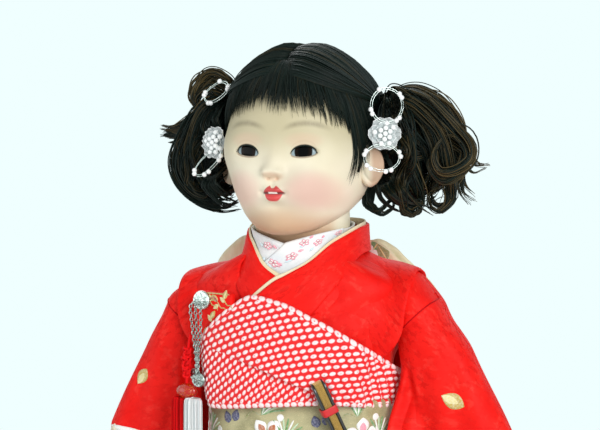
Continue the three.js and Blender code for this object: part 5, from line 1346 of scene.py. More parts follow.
# %% Robe surface
SQUARE, ARM_X, ARM_Z = 2.4, 56.0, 283.0
HEM, SASH_LOW, WAIST_Z, SASH_TOP = 10.0, 168.0, 226.0, 234.0
AROUND_UV, COLLAR_UV = 44, np.array([110, 34])
robe_profile = stations([
    (10, 48, 40), (41.6, 46, 37.6), (168, 46.5, 36.5), (226, 46.5, 36), (252.8, 49.5, 35.5), (268.2, 54, 34),
    (288, 59, 30), (295, 55, 28.5), (301, 45, 27), (305, 36, 25.5), (309, 28, 23),
])
collar_profile = stations([
    (237.4, 48, 40, 0), (271.6, 49, 39, 0), (287, 44.5, 36.5, 0), (296.5, 38.5, 34.5, 0),
    (306, 32.5, 31.5, 1.5), (316, 30.5, 30, 4), (325.8, 29.6, 28.6, 6),
])
collar_top = stations([(-95, 324), (0, 322.5), (45, 315), (70, 304.5), (90, 296.5), (105, 285.5),
                       (120, 272.5), (135, 260.5)])
collar_low = stations([(-95, 306), (0, 308), (35, 299.5), (60, 288), (73, 278), (85, 269.5), (100, 258.5)])


def squared(angle, a, b, square=SQUARE):
    """Round-cornered plan: the cosine and sine raised to 2 / square, with their signs kept."""
    x, y = np.cos(angle), np.sin(angle)
    power = 2 / square
    return a * (np.sign(x) * np.abs(x) ** power), b * (np.sign(y) * np.abs(y) ** power)


def robe_body(angle, z):
    a, b = np.moveaxis(robe_profile(z), -1, 0)
    x, y = squared(angle, a, b)
    return stack(x, y, z)


def robe(angle, z, out=0.0):
    """Robe with the edge of its front panel and the soft folds of the skirt, moved out by a distance."""
    skirt = ramp(SASH_LOW - z, 7.9, 39.5)
    panel = 1.2 * ramp(np.sin(angle + np.radians(25)), -0.1, -0.3)
    panel = panel * ramp(np.cos(angle + np.radians(75)), 0.7, 0.78)
    folds = 1.4 * ramp(HEM + 79 - z, 0, 79) * np.cos(7 * angle + 0.6)
    return away(robe_body, angle, z, skirt * (panel + folds) + out)


def front_turn(angle):
    """Degrees from the doll's side towards its front."""
    return np.degrees(np.arctan2(-np.sin(angle), np.abs(np.cos(angle))))


print("waist half-width and half-depth", robe_profile(WAIST_Z))

# %% Body of the kimono
kimono = Piece()
angle = once_round(240)
foot = HEM + 11 * ramp(-np.sin(angle), 0.5, 0.95)
top = np.minimum(collar_low(front_turn(angle))[..., 0] + 13, 309.0)
share = np.linspace(0, 1, 170)[:, None]
z = lerp(foot, top, share)
chest = ramp(z, WAIST_Z, WAIST_Z + 20) * ramp(z, 312, 290)
soft = 0.55 * np.sin(0.21 * z + 5 * angle + 1.3 * np.sin(3 * angle)) + 0.35 * np.sin(0.4 * z - 7 * angle)
under_collar_rise = 2.2 * ramp(z - top, -30, -12) * ramp(-np.sin(angle), 0.3, 0.7)
rise = chest * soft + under_collar_rise
edge = 0.25 + 0.75 * np.sqrt(ramp(share, 0, 0.012) * ramp(share, 1, 0.99))
inner = robe(angle, z, rise - 1.8 * edge)
kimono.slab(robe(angle, z, rise), inner, loop=True, uv=stack(AROUND_UV * angle, z))
kimono_piece = kimono.make("kimono", "body", red_silk, "red_silk", replaces=["kimono_body"])

# %% [markdown]
# ## Collars
# Three collars lie in each other: the white under-collar with small blossoms, a thin cream edge, and the red
# collar of the kimono itself. The red strip runs from one tucked-in end round the nape to the other, on its
# own surface outside the robe, and its left end lies over its right end, so it climbs a little as it goes
# along.

# %% Collar strips
def collar_body(angle, z):
    a, b, y = np.moveaxis(collar_profile(z), -1, 0)
    x, depth = squared(angle, a, b)
    return stack(x, depth + y, z)


def collar(along, v, out):
    """Point of the strip: along from its right end at -1 to its left end at 1, v up across it."""
    s = np.abs(along)
    top_turn, low_turn = lerp(-90, 112, s), lerp(-90, 82, s)
    angle = -np.radians(lerp(low_turn, top_turn, v))
    z = lerp(collar_low(low_turn)[..., 0], collar_top(top_turn)[..., 0], v)
    layer = lerp(-1.6, 1.4, ramp(along, -0.5, 0.5))
    point = away(collar_body, angle, z, layer + out)
    return point * stack(np.where(along < 0, -1, 1), 1, 1)


def rounded(v, soft=0.06):
    """Thickness of a folded edge: a quarter circle over the first and last share of the width."""
    near = np.clip(np.minimum(v, 1 - v) / soft, 0, 1)
    return 0.2 + 0.8 * np.sqrt(1 - (1 - near) ** 2)


along, v = np.linspace(-1, 1, 220)[:, None], np.linspace(0, 1, 26)[None]
red_collar = Piece().sheet(lambda out: collar(along, v, 0.9 + out), 0.9 * rounded(v),
                           uv=COLLAR_UV * stack(along, v))
red_collar_piece = red_collar.make("red_collar", "body", red_silk, "red_silk", replaces=["kimono_collar"])
along, v = np.linspace(-0.9, 1, 220)[:, None], np.linspace(0.86, 1.1, 14)[None]
swell = 0.45 * rounded((v - 0.86) / 0.24, 0.2)
trim_out = lerp(0.5, -0.4, ramp(along, -0.4, 0.2))
trim = Piece().sheet(lambda out: collar(along, v, trim_out + out), swell, uv=COLLAR_UV * stack(along, v))
trim_piece = trim.make("cream_trim", "body", cream_silk, "cream_silk", replaces=["trim_collar"])

# %% [markdown]
# ## Yoke with its shoulder tuck
# On a child's kimono the shoulder is taken up in a tuck, so the body ends in a folded edge over the top of
# each sleeve. The yoke is a strip from under the collar to that edge, from the chest over the shoulder to the
# back. Each rib of it is a curve with one control point, which lifts it off the chest as padded silk does.

# %% Yoke
YOKE_EDGE = smooth_path([
    (44, -14, 245), (47.5, -16.5, 253), (56, -20, 260.5), (61, -21.5, 269), (63.2, -22.5, 281),
    (64.4, -15, 295), (64.6, -2, 300.5), (64.4, 12, 296.5), (61, 20, 282), (57, 22, 262), (52, 20, 244),
], 121)
SHOULDER_DROP = {1: 0.0, -1: 4.0}


def yoke(t, across, side):
    """Rib from under the collar to the folded edge, walked from chest to back by t."""
    along = np.clip(lerp(0.99, 0.0, t / 0.68), 0, 1)
    hidden = np.clip(across / 0.25, 0, 1)
    below = mirrored(collar(side * along, lerp(0.42, 0.0, hidden), lerp(-3.4, -2.4, hidden)), side)
    nape = ramp(t, 0.66, 1.0)[..., None] * np.array([0.0, 4.0, -50.0])
    start = below + nape
    walk = np.linspace(0, 1, len(YOKE_EDGE))
    pick = stack(*(np.interp(t, walk, values) for values in YOKE_EDGE.T))
    pick[..., 2] -= SHOULDER_DROP[side] * ramp(pick[..., 2], 280, 294)
    front, back = ramp(t, 0.5, 0.1), ramp(t, 0.55, 0.9)
    bend = (start + pick) / 2 + stack(0, -1.6 * front + 5 * back, 0.4)
    k = np.clip((across - 0.25) / 0.75, 0, 1)[..., None]
    return mirrored(start * (1 - k) ** 2 + 2 * bend * k * (1 - k) + pick * k * k, side)


t, across = np.linspace(0, 1, 110)[None], np.linspace(0, 1, 40)[:, None]
half = 0.15 + 0.85 * np.sqrt(np.clip(1 - np.maximum((across - 0.93) / 0.07, 0) ** 2, 0, 1))
creases = 0.5 * np.sin(11 * across + 9 * t) + 0.45 * np.sin(23 * t - 6 * across) * ramp(t, 0.5, 0.2)
creases = creases * np.sin(np.pi * across)
shoulders = Piece()
for side in (1, -1):
    strip = yoke(t, across, side)
    normal = side * unit(np.cross(np.gradient(strip, axis=0), np.gradient(strip, axis=1)))
    uv = stack(70 + 45 * across, 190 * t)
    shoulders.sheet(lambda out: strip + normal * (creases + out)[..., None], half, uv=uv)
yoke_piece = shoulders.make("shoulder_yoke", "body", red_silk, "red_silk")

# %% White under-collar
COLLAR_STAND = 318.0
WHITE_UV = np.array([24, 30])
under_rise = stations([(-90, 7), (-25, 6), (0, 4.4), (30, 3.0), (60, 0.4), (90, -3.6)])


def under_collar(angle, up, out):
    """Cone from under the trim to the neck: a straight mix of its foot and its top, moved outwards."""
    tilt = front_turn(angle)
    r = lerp(26.6, 27.6, ramp(tilt, 40, -60))
    top = stack(r * np.cos(angle), r * np.sin(angle) - 1.0, COLLAR_STAND + under_rise(tilt)[..., 0])
    foot = away(collar_body, angle, np.maximum(collar_top(tilt)[..., 0] - 8, 284.0), -8.0)
    outwards = stack(np.cos(angle), np.sin(angle), 0.55)
    return lerp(foot, top, up[..., None]) + outwards * (out + 0.6 * np.sin(np.pi * up))[..., None]


angle, up = once_round(160), np.linspace(0, 1, 22)[:, None]
uv = WHITE_UV * stack(angle, up)
white = Piece().sheet(lambda out: under_collar(angle, up, out), 0.6 * rounded(up), loop=True, uv=uv)
across = np.linspace(0, 1, 50)[None]
angle = np.radians(lerp(-90 - 34 * (1 - up), -20, across))
swell = 0.45 * np.sqrt(rounded(across, 0.05) * rounded(up))
white.sheet(lambda out: under_collar(angle, up, 1.1 + out), swell, uv=WHITE_UV * stack(angle, up))
white_piece = white.make("white_collar", "body", white_silk, "under_silk", replaces=["under_collar"])

# %% [markdown]
# ## Sleeves
# Each sleeve is a flat bag of lined silk: narrow over the shoulder, open at the wrist, and hanging almost to
# the hem. It is worked out as rings down the arm that start and end on the outer edge. Where the edge is sewn
# the two ends meet, and at the wrist they part and leave the opening for the hand. It rides on its arm, and
# the folded edge of the yoke covers its top.

# %% Hanging sleeves
sleeve_profile = stations([
    (-208, 37, 39, 2.8), (-199.7, 32, 40.5, 4.8), (-178.9, 18, 41.5, 6.8), (-153.9, 6, 42.5, 8),
    (-124.8, 5, 43, 8), (-89.4, 6, 44, 9.2), (-80.1, 6, 51, 10.4), (-74, 6, 56.5, 11.2), (-66.6, 5.6, 54, 12),
    (-41.6, 1.4, 41, 14.8), (-26, -1.5, 33, 16.1), (-10.4, -3, 25, 18.5), (0, -6, 21, 18.5),
    (8, -6, 15, 15.9), (14, -6, 10, 11.1), (17.2, -6, 6, 5.5),
])
CUFF_MIDDLE, CUFF_HALF = -80.0, 15.0
FLAP_OUT, FLAP_FORWARD, BACK_TUCK = 11.5, 13.0, {1: 0.0, -1: 6.5}


def sleeve_section(height, side):
    """Inner edge, outer edge and half depth of a sleeve; the left arm stands out a little more."""
    inside, outside, half = np.moveaxis(sleeve_profile(height), -1, 0)
    wider = ramp(-height, 2, 24) * 4.6 if side > 0 else -lerp(4.0, 1.4, ramp(-height, -2, 24))
    return inside, outside + wider * ramp(-height, 94, 70), half


def sleeve_ring(height, round_, thin, side):
    """Ring of the bag at a height from the arm's axis; round_ runs over the front, then the back."""
    inside, outside, half = sleeve_section(height, side)
    x, y = squared(-round_, (outside - inside) / 2 - thin, half - thin, 2.5)
    x = x + ARM_X + (inside + outside) / 2
    hang = ramp(-height, 62, 125) * ramp(height, -208, -166)
    y = y + 2.6 * hang * np.sin(2 * np.pi * (x - ARM_X) / 21)
    front = ramp(np.sin(round_), 0.0, 0.25)
    fall = ramp(-height, 30, 72) * ramp(-height, 200, 120)
    flap = fall * front * ramp(-np.cos(round_), 0.6, 0.97)
    groove = ramp(-height, 26, 46) * ramp(-height, 200, 150) * front
    y = y + 5.0 * groove * hump(x - ARM_X, 6.0 - 0.11 * (height + 34), 1.9) - FLAP_FORWARD * flap
    tuck = ramp(-height, 24, 44) * ramp(-height, 120, 90) * ramp(-np.sin(round_), 0.0, 0.25)
    x = x - FLAP_OUT * flap - BACK_TUCK[side] * tuck * ramp(-np.cos(round_), 0.5, 0.95)
    seam = height - 3 + 0.94 * (20 - (x - ARM_X))
    y = y - 1.1 * ramp(seam, -0.7, 0.7) * ramp(np.sin(round_), 0.1, 0.4) * ramp(height, 12, 4)
    drape = ramp(-height, 6, 40) * ramp(-height, 150, 70)
    y = y - 1.5 * drape * np.sign(np.sin(round_)) * hump(x - ARM_X, 12 + 0.12 * height, 5.5)
    y = y + 0.8 * drape * np.sin(0.33 * x + 0.05 * height)
    return stack(x, y, ARM_Z + height - SHOULDER_DROP[side] * ramp(height, 0, 15))


sleeves = {}
height = np.r_[np.linspace(-208, -32, 96), np.linspace(-31, 17.2, 52)][:, None]
opening = 0.75 * np.clip(1 - ((height - CUFF_MIDDLE) / CUFF_HALF) ** 2, 0, 1)
round_ = lerp(opening, 2 * np.pi - opening, np.linspace(0, 1, 128)[None])
height = height + 0 * round_
uv = stack(60 * round_ / np.pi, height)
for name, side in SIDES:
    outer, inner = (mirrored(sleeve_ring(height, round_, thin, side), side) for thin in (0.0, 1.2))
    bag = Piece().slab(outer, inner, uv=uv)
    sleeves[side] = bag.make(f"{name}_hanging_sleeve", f"{name}_arm", red_silk, "red_silk",
                             replaces=[f"{name}_sleeve"])

# %% [markdown]
# ## Bustle cloth
# The bustle cloth is silk crepe that was tied off in hundreds of tiny points before it was dyed. Each point
# keeps a white top and stands up as a nub, so the nubs are real height on a fine mesh, not a picture. They
# lie in rows that run up to the left side of the chest, and a second layer with steeper rows comes out from
# under a fold at the front.

# %% Places on the waist
around = np.radians(np.linspace(-270, 90, 1441))
plan = robe_body(around, np.full(1441, 240.0))
walked = np.r_[0, np.cumsum(np.linalg.norm(np.diff(plan, axis=0), axis=1))]
walked = walked - np.interp(np.radians(-90), around, walked)
WAIST = walked[-1] - walked[0]


def waist_angle(s):
    """Angle round the waist at a distance walked from the middle of the front."""
    return np.interp(s, walked, around)


def tied(s, t, tilt, pitch, row):
    """Squared distance from the nearest tied point; t is the height over a row's own line."""
    p, q = s / np.cos(tilt) + 0 * t, t * np.cos(tilt)
    line = np.round(q / row)
    shift = 0.5 * np.mod(line, 2)
    spot = np.round(p / pitch - shift) + shift
    wander = 0.09 * np.sin(12.9 * spot + 7.8 * line)
    return ((p / pitch - spot + wander) / 0.41) ** 2 + ((q / row - line - 0.5 * wander) / 0.33) ** 2


print("waist is", round(WAIST), "mm round")

# %% Tie-dyed bustle cloth
bustle_top = stations([
    (-190, 247), (-162, 253), (-145, 261), (-130, 269), (-113, 279.5), (-99, 286.5), (-75, 276), (-47, 264.5),
    (-14, 254), (8, 248.5), (40, 245), (90, 245), (150, 246), (170, 247),
])
bustle_low = stations([(-190, 228), (-150, 228), (-120, 228.5), (-62, 232.5), (-20, 229), (20, 228),
                       (170, 228)])
degrees = np.r_[np.linspace(-190, -178, 10, endpoint=False), np.linspace(-178, 14, 560, endpoint=False),
                np.linspace(14, 170, 90, endpoint=False)][:, None]
angle = np.radians(degrees)
v = np.linspace(0, 1, 100)[None]
s = np.interp(angle, around, walked)
low_z, top_z = bustle_low(degrees)[..., 0], bustle_top(degrees)[..., 0]
z = lerp(low_z, top_z, v)
facing = ramp(-np.sin(angle), 0.45, 0.8)
foot = lerp(0.5, 7.4, facing)
crease = 252.5 - 0.42 * (s + 12.7) - 2.2 * np.maximum(s - 21, 0)
over = ramp(z - crease, -0.4, 1.0)
near = lerp(ramp(z - crease, -9, 3), over, ramp(s, -42, -28))
sag = 0.3 * s - 0.003 * s ** 2
upper = tied(s, z - 250 - sag, np.radians(15), 3.4, 3.1)
lower = tied(s, z - 250 - 0.8 * s, np.radians(39), 3.2, 2.8)
spots = np.where(near > 0.5, upper, lower)
for rim_z in (top_z - 1.3, low_z + 1.3):
    bead_ = ((s / 3.3 - np.round(s / 3.3)) / 0.45) ** 2 + ((z - rim_z) / 1.5) ** 2
    spots = np.where(np.abs(z - rim_z) < 1.5, bead_, spots)
nub = np.exp(-0.8 * spots)
front = ramp(np.sin(angle), 0.55, 0.2)
fold = 2.2 * over * ramp(s, -24, -4) * ramp(s, 34, 22) * np.exp(-np.maximum(z - crease, 0) / 14)
tuck = -1.6 * (1 - over) * ramp(s, -24, 0) * ramp(s, 30, 20) * np.exp(-np.maximum(crease - z, 0) / 6)
gather = 0.9 * np.sin(0.42 * (z - crease)) * ramp(np.abs(s - 60), 45, 20)
body_ = foot + lerp(2.9, 4.2, facing) * (0.35 + 0.65 * np.sqrt(1 - (2 * v - 1) ** 2))
rim = 0.55 + 0.45 * np.sqrt(1 - np.abs(2 * v - 1) ** 4)
outer = away(robe_body, angle, z, body_ + fold + tuck + gather * front + 1.35 * nub * front * rim)
back_z = lerp(low_z, top_z, 0.02 + 0.96 * np.linspace(1, 0, 12)[None, 1:-1])
inner = away(robe_body, angle, back_z, foot + 0.5)
grid = np.concatenate([outer, inner], axis=1)
dye = np.clip(1.25 - 0.85 * spots, 0, 1) - (0.45 + 0.3 * np.sin(0.9 * s + 0.5 * z)) * np.exp(-spots / 0.13)
tint = np.concatenate([dye, np.zeros(inner.shape[:2])], axis=1)
flat = np.concatenate([stack(s, z), stack(s, back_z)], axis=1)
bustle = Piece().add(grid, mesh_quads(*grid.shape[:2], True, True), flat, tint)
bustle_piece = bustle.make("tied_bustle", "body", dyed_silk, "dyed_silk", replaces=["bustle_cloth"])

# %% [markdown]
# ## Sash
# The sash is stiff brocade, wound flat round the waist. Its woven flowers, leaves and berries are laid on as
# thin raised patches, because real brocade floats its coloured weft on top of the ground. The layout is a
# free scatter.

# %% Brocade sash
def sash_face(s, z, out):
    """Outer face of the sash at a distance walked from the front and a height."""
    angle = waist_angle(np.mod(s + WAIST / 2, WAIST) - WAIST / 2)
    return away(robe_body, angle, z, 3.4 + np.asarray(out, float))


def woven_face(s, z, out):
    """The same for the motifs, which are cut off at the edges of the cloth as a woven pattern is."""
    return sash_face(s, np.clip(z, SASH_LOW + 0.8, SASH_TOP - 0.8), out)


s = np.linspace(-WAIST / 2, WAIST / 2, 240, endpoint=False)[None]
z = np.linspace(SASH_LOW, SASH_TOP, 44)[:, None]
swell = 1.4 * rounded((z - SASH_LOW) / (SASH_TOP - SASH_LOW), 0.04)
ripple = 0.25 * np.sin(0.13 * s) * np.sin(0.3 * z)
band = Piece().sheet(lambda out: sash_face(s, z, ripple - 1.4 + out), swell, loop=True, uv=stack(s, z))
sash_piece = band.make("brocade_sash", "body", brocade, "brocade", replaces=["sash"])

# %% Motifs of thread
UNDER = -0.25


def leaf(long, wide, notch=0.0):
    """Leaf or petal: half-width as the sine of the way along; a notch draws its tip in."""
    def outline(k, j):
        half = wide * np.sin(np.pi * np.clip(k, 0.001, 0.999) ** (0.8 + notch)) ** 0.8
        return long * (k - notch * 0.35 * hump(j, 0, 0.3) * k ** 4), half * j
    return outline


def disc(r):
    """Round spot."""
    def outline(k, j):
        return r * np.cos(np.pi * (1 - k)), r * np.sin(np.pi * (1 - k)) * j
    return outline


def patch(piece, face, at, turn, outline, colour, lift=0.3):
    """Thin raised patch of stitches: an outline on a face, which takes two distances and a height."""
    k, j = np.linspace(0, 1, 11)[:, None], np.linspace(-1, 1, 7)[None]
    a, b = outline(k, j)
    a, b = a * np.cos(turn) - b * np.sin(turn), a * np.sin(turn) + b * np.cos(turn)
    top = face(at[0] + a, at[1] + b, lift * (1 - 0.6 * np.abs(j) ** 3))
    piece.slab(top, face(at[0] + a, at[1] + b, UNDER), uv=stack(a, b), tint=thread(colour))


def stroke(piece, face, points, wide, colour, lift=0.3, steps=20):
    """Couched line of thread: a narrow ribbon along a smooth path on a face, tapering at both ends."""
    path = smooth_path(points, steps)
    way = unit(np.gradient(path, axis=0))
    side = np.stack([-way[:, 1], way[:, 0]], 1)
    share = np.linspace(0, 1, steps)
    half = wide / 2 * np.sqrt(np.clip(np.minimum(share, 1 - share) / 0.12, 0.1, 1))
    spot = path[:, None] + side[:, None] * (half[:, None] * np.array([-1, 0, 1]))[..., None]
    a, b = spot[..., 0], spot[..., 1]
    top = face(a, b, np.array([[0.6, 1.0, 0.6]]) * lift)
    piece.slab(top, face(a, b, UNDER), uv=spot, tint=thread(colour))


def blossom(piece, face, at, turn, size, petals, edge, inner, eye):
    """Five-petalled blossom: notched petals round an eye, each with a second tone inside."""
    for k in range(petals):
        a = turn + 2 * np.pi * k / petals
        start = np.asarray(at) + 0.22 * size * np.array([np.cos(a), np.sin(a)])
        patch(piece, face, start, a, leaf(size, 0.42 * size, 0.25), edge)
        patch(piece, face, start, a, leaf(0.7 * size, 0.26 * size, 0.25), inner, 0.42)
    patch(piece, face, at, 0, disc(0.26 * size), eye, 0.55)


def spray(piece, face, at, turn, long, blades, colours):
    """Tuft of needles or grass: blades spread like a fan from one point, bent a little outwards."""
    for k in range(blades):
        a = turn + np.radians(62) * (k / (blades - 1) - 0.5)
        way, bend = np.array([np.cos(a), np.sin(a)]), 0.22 * np.sin(a - turn)
        across = np.array([-way[1], way[0]])
        start = np.asarray(at)
        points = [start, start + way * long * 0.55, start + way * long + across * bend * long]
        stroke(piece, face, points, 0.9, colours[k % len(colours)])


COLUMNS, ROW_Z = 22, (225.5, 208.0, 190.0, 176.0)


def scattered(k, across, up, span, foot):
    """Place of a motif in a column of the sash: a row moved up, carried round within a span."""
    column = -WAIST / 2 + WAIST * (k + 0.5) / COLUMNS
    return np.array([column + across, (ROW_Z[k % 4] - SASH_LOW + up) % span + foot])


weave_ = Piece()
for k in range(COLUMNS):
    spin = 1.1 * k
    edge, inner = ("white", "pale_gold")[k % 2], ("salmon", "russet", "pink")[k % 3]
    blossom(weave_, woven_face, scattered(k, 0, 21, 60, 172), spin, 8.4, 5, edge, inner, "gold")
    leaf_at = scattered(k, 4.5, 3, 62, 170)
    patch(weave_, woven_face, leaf_at, 0.5 + spin, leaf(16, 4.0), ("salmon", "green", "russet")[k % 3])
    patch(weave_, woven_face, leaf_at, 0.5 + spin, leaf(14.6, 0.6), "pale_gold", 0.5)
    lean = 1.3 + 0.5 * np.sin(2.3 * k)
    spray(weave_, woven_face, scattered(k, -3, 36, 62, 168), lean, 13, 7, ("green", "pale_green", "white"))
    for berry in range(2):
        spot = scattered(k, 2 + 3.6 * berry, 52 + 1.3 * berry, 60, 171)
        patch(weave_, woven_face, spot, 1.57 + 0.6 * (0.5 - berry), leaf(6.4, 2.4), "navy", 0.35)
    patch(weave_, woven_face, scattered(k, -5, 46, 58, 171), 0, disc(1.9), "white")
    curl = scattered(k, 0, 12, 56, 172)
    stroke(weave_, woven_face, [curl, curl + [4, 3.5], curl + [9, 2], curl + [12, 5]], 0.8,
           ("gold", "moss")[k % 2])
weave_.make("sash_motifs", "body", embroidery, "brocade")

# %% [markdown]
# ## Sash cord
# A flat braided cord holds the sash and the fan. It is a helix of strands round a closed loop, with a flat
# knot of the same cord in front. It is held all round, so it is fixed trim and not a free cord.

# %% Braided cord with its knot
CORD_Z, CORD_R, CORD_OUT, PLAIT = 196.0, 2.4, 3.8, 0.55


def braided(piece, centre, out, up, wide, high, plait, loop=False):
    """Braid along a path: an ellipse on two directions, swollen where two families of helices cross."""
    turn_ = once_round(16)
    share = np.arange(len(centre))[:, None] * plait
    relief = 0.86 + 0.14 * np.maximum(np.sin(2 * turn_ + share), np.sin(2 * turn_ - share))
    ring = stack(wide * np.cos(turn_) * relief, high * np.sin(turn_) * relief)
    grid = centre[:, None] + ring[..., :1] * out[:, None] + ring[..., 1:] * up[:, None]
    # Painted shade: the value follows the relief, lighter on the raised crossings and darker between them.
    tint = 2.2 * (relief - 0.8) + 0.3
    if loop:
        return piece.add(grid, mesh_quads(*grid.shape[:2], True, True), tint=tint)
    return piece.skin(grid, tint=tint)


def along_path(points, steps):
    """Smooth path with the two directions that a braid is laid on."""
    path = smooth_path(points, steps)
    normal, binormal = frames(path[None])
    return path, normal[0], binormal[0]


turn_ = once_round(640)[0]
over_fan = 9.4 * np.exp(-(((np.degrees(turn_) - 310) / 15) ** 4))
centre = away(robe_body, turn_, CORD_Z, CORD_OUT + CORD_R + over_fan)
outwards = unit(away(robe_body, turn_, CORD_Z, 1.0) - robe_body(turn_, CORD_Z))
upwards = np.broadcast_to([0.0, 0.0, 1.0], outwards.shape)
cord = braided(Piece(), centre, outwards, upwards, 1.7, 2.6, PLAIT, loop=True)
knot_at = np.array([0, robe_body(-np.pi / 2, CORD_Z)[1] - CORD_OUT - CORD_R, CORD_Z])
knot_way = np.array([(-6, -1, 0), (-3, -3.4, 3.5), (3, -3.6, 2), (6, -2.6, -3), (9.5, -1.6, -8)])
for sweep in (1, -1):
    braided(cord, *along_path(knot_at + mirrored(knot_way, sweep), 70), 1.6, 2.3, PLAIT)
cord.make("braided_cord", "body", red_thread, "red_thread", replaces=["sash_cord"])

# %% [markdown]
# ## Bow of the sash
# Behind the back the end of the sash is tied in a standing bow: two wide loops, a knot and a hanging tail.
# Each loop is a flattened tube of cream brocade that is open above and below, so its rolled edge shows behind
# the shoulders.

# %% Wings, knot and tail
BOW_Y, WING_FOOT, WING_HALF, WING_LIFT = 49.1, 11.7, 29.15, 0.8
KNOT_Z, KNOT_HALF = 244, 18
TAIL_Y, TAIL_TOP, TAIL_HALF, TAIL_LONG, TAIL_LIFT = 48.2, 225.6, 22, 74, 1.0
bow_silk = finish("bow_brocade", plain_silk("#f4edd2", "#dccfa2", 0.09))
wing_low = stations([(10.6, 2), (25.2, -13), (42, -26), (56, -31), (64, -29), (70, -18)])
wing_tops = {
    1: stations([(10.6, 40), (16, 72), (22, 86), (34, 82.5), (40, 77), (46, 72), (54, 65), (62, 55), (67, 46),
                 (70, 36)]),
    -1: stations([(10.6, 32), (25.2, 64), (40, 86), (48, 88), (56, 83), (65, 74), (68, 66), (70, 54)]),
}


def wing(side, t, v, out):
    """Loop of the bow: round it by t, up it by v; pinched into folds at the knot, full outside."""
    x = WING_FOOT + WING_HALF * (1 + np.cos(t))
    pinch = ramp(x, 10.6, 35)
    fold = 1.6 * (1 - pinch) * np.cos(6 * np.pi * v) + 0.7 * pinch * np.sin(5 * v + 0.12 * x)
    full = lerp(0.55, 1, pinch) * (0.85 + 0.15 * np.sin(np.pi * v))
    z = WAIST_Z + lerp(wing_low(x)[..., 0], wing_tops[side](x)[..., 0], v)
    return stack(side * x, BOW_Y + (8 * full + out) * np.sin(t) + fold, z)


t, v = once_round(96), np.linspace(0, 1, 46)[:, None]
swell = WING_LIFT * rounded(v, 0.02)
uv = stack(58 * np.abs(np.sin(t / 2)) * 2, 90 * v)
bow_wings = []
for name, side in SIDES:
    loop_ = Piece().sheet(lambda out: wing(side, t, v, out), swell, loop=True, uv=uv)
    made = loop_.make(f"{name}_bow_loop", "body", bow_silk, "brocade", replaces=[f"{name}_bow_wing"])
    bow_wings.append(made)

t, v = once_round(72), np.linspace(-1, 1, 40)[:, None]
cap = np.sqrt(np.clip(1 - np.abs(v) ** 3.2, 0, 1)) + 0.03
x, y = squared(t, 10.2 * cap, 7.6 * cap, 3)
crease = 0.5 * np.sin(7 * x / 10.6 + 1.5 * v) * ramp(np.sin(t), -0.2, 0.4)
tied_knot = Piece().skin(stack(x, BOW_Y + y + crease, KNOT_Z + KNOT_HALF * v), uv=stack(10 * t, 20 * v))
knot_piece = tied_knot.make("bow_wrap", "body", bow_silk, "brocade", replaces=["bow_knot"])


def tail_at(x, u, v, out):
    """Hanging end of the sash: across it by u from -1 to 1, down it by v, bent into two soft folds."""
    fold = 1.6 * v * np.cos(np.pi * (u + 1)) + 2 * (1 - v)
    return stack(x, TAIL_Y + fold + out, TAIL_TOP - TAIL_LONG * v)


u, v = np.linspace(-1, 1, 60)[None], np.linspace(0, 1, 60)[:, None]
x = TAIL_HALF * u * lerp(0.55, 1, ramp(v, 0, 0.5))
swell = TAIL_LIFT * rounded(v, 0.03) * np.sqrt(rounded((u + 1) / 2, 0.03))
tail = Piece().sheet(lambda out: tail_at(x, u, v, out), swell, uv=stack(TAIL_HALF * u, -TAIL_LONG * v))
tail_piece = tail.make("bow_end", "body", bow_silk, "brocade", replaces=["bow_tail"])

# %% Leaves on the bow
def wing_face(side, behind):
    """Face of a wing for the motifs, behind or in front: distance along it, height and lift."""
    def face(a, b, out):
        x = np.clip(a, 11.9, 69.5)
        t = np.arccos(np.clip((x - WING_FOOT) / WING_HALF - 1, -0.999, 0.999))
        low, high = wing_low(x)[..., 0], wing_tops[side](x)[..., 0]
        up = np.clip((b - low) / (high - low), 0.01, 0.99)
        return wing(side, t if behind else 2 * np.pi - t, up, WING_LIFT + out)
    return face


def tail_face(a, b, out):
    """Face of the hanging end: distance across it and height over its top, which goes below 0."""
    return tail_at(a, a / TAIL_HALF, -b / TAIL_LONG, TAIL_LIFT + out)


LEAVES_AT = [(25, 81), (34, 76), (43, 73), (30, 30), (52, 40), (46, 10), (24, 44), (58, 18), (38, -8)]
bow_leaves = Piece()
for side in (1, -1):
    for face in (wing_face(side, True), wing_face(side, False)):
        for k, (a, b) in enumerate(LEAVES_AT):
            spin = 0.9 + 1.3 * k
            patch(bow_leaves, face, (a, b), spin, leaf(13, 4.2), ("green", "moss", "green")[k % 3])
            patch(bow_leaves, face, (a, b), spin, leaf(10, 0.5), "pale_gold", 0.5)
            patch(bow_leaves, face, (a + 3, b - 4), spin + 1.2, leaf(8, 2.4), ("white", "salmon")[k % 2])
for k, (a, b) in enumerate([(-6, -14), (5, -30), (-8, -46), (8, -60)]):
    blossom(bow_leaves, tail_face, (a, b), 0.7 * k, 5.6, 5, "white", "salmon", "gold")
    patch(bow_leaves, tail_face, (a + 6, b - 3), 0.4 - k, leaf(9, 2.6), ("green", "moss")[k % 2])
bow_leaves.make("bow_motifs", "body", embroidery, "brocade")

# %% [markdown]
# ## Pocket case and its pendants
# A flat case of red silk over board is tucked into the breast. It carries a stamped silver boss, three fine
# chains with a disc, and a knotted cord with a bead and two tassels. The chains are real links, each a small
# ring turned a quarter against its neighbour, and a tassel is a bundle of threads that spread a little
# towards their cut ends.

# %% Case and embroidery
CASE_AT, CASE_TURN = np.array([-36.5, -33.8, 271.0]), np.arctan2(0.3746, 0.9272)
CASE_HALF = np.array([12.5, 2.0, 18.0])
case_axes = np.array([[np.cos(CASE_TURN), -np.sin(CASE_TURN), 0], [np.sin(CASE_TURN), np.cos(CASE_TURN), 0],
                      [0, 0, 1]])


def on_case(points):
    """Points measured on the case, brought to the doll: turned with the case and moved to its middle."""
    return CASE_AT + np.asarray(points, float) @ case_axes


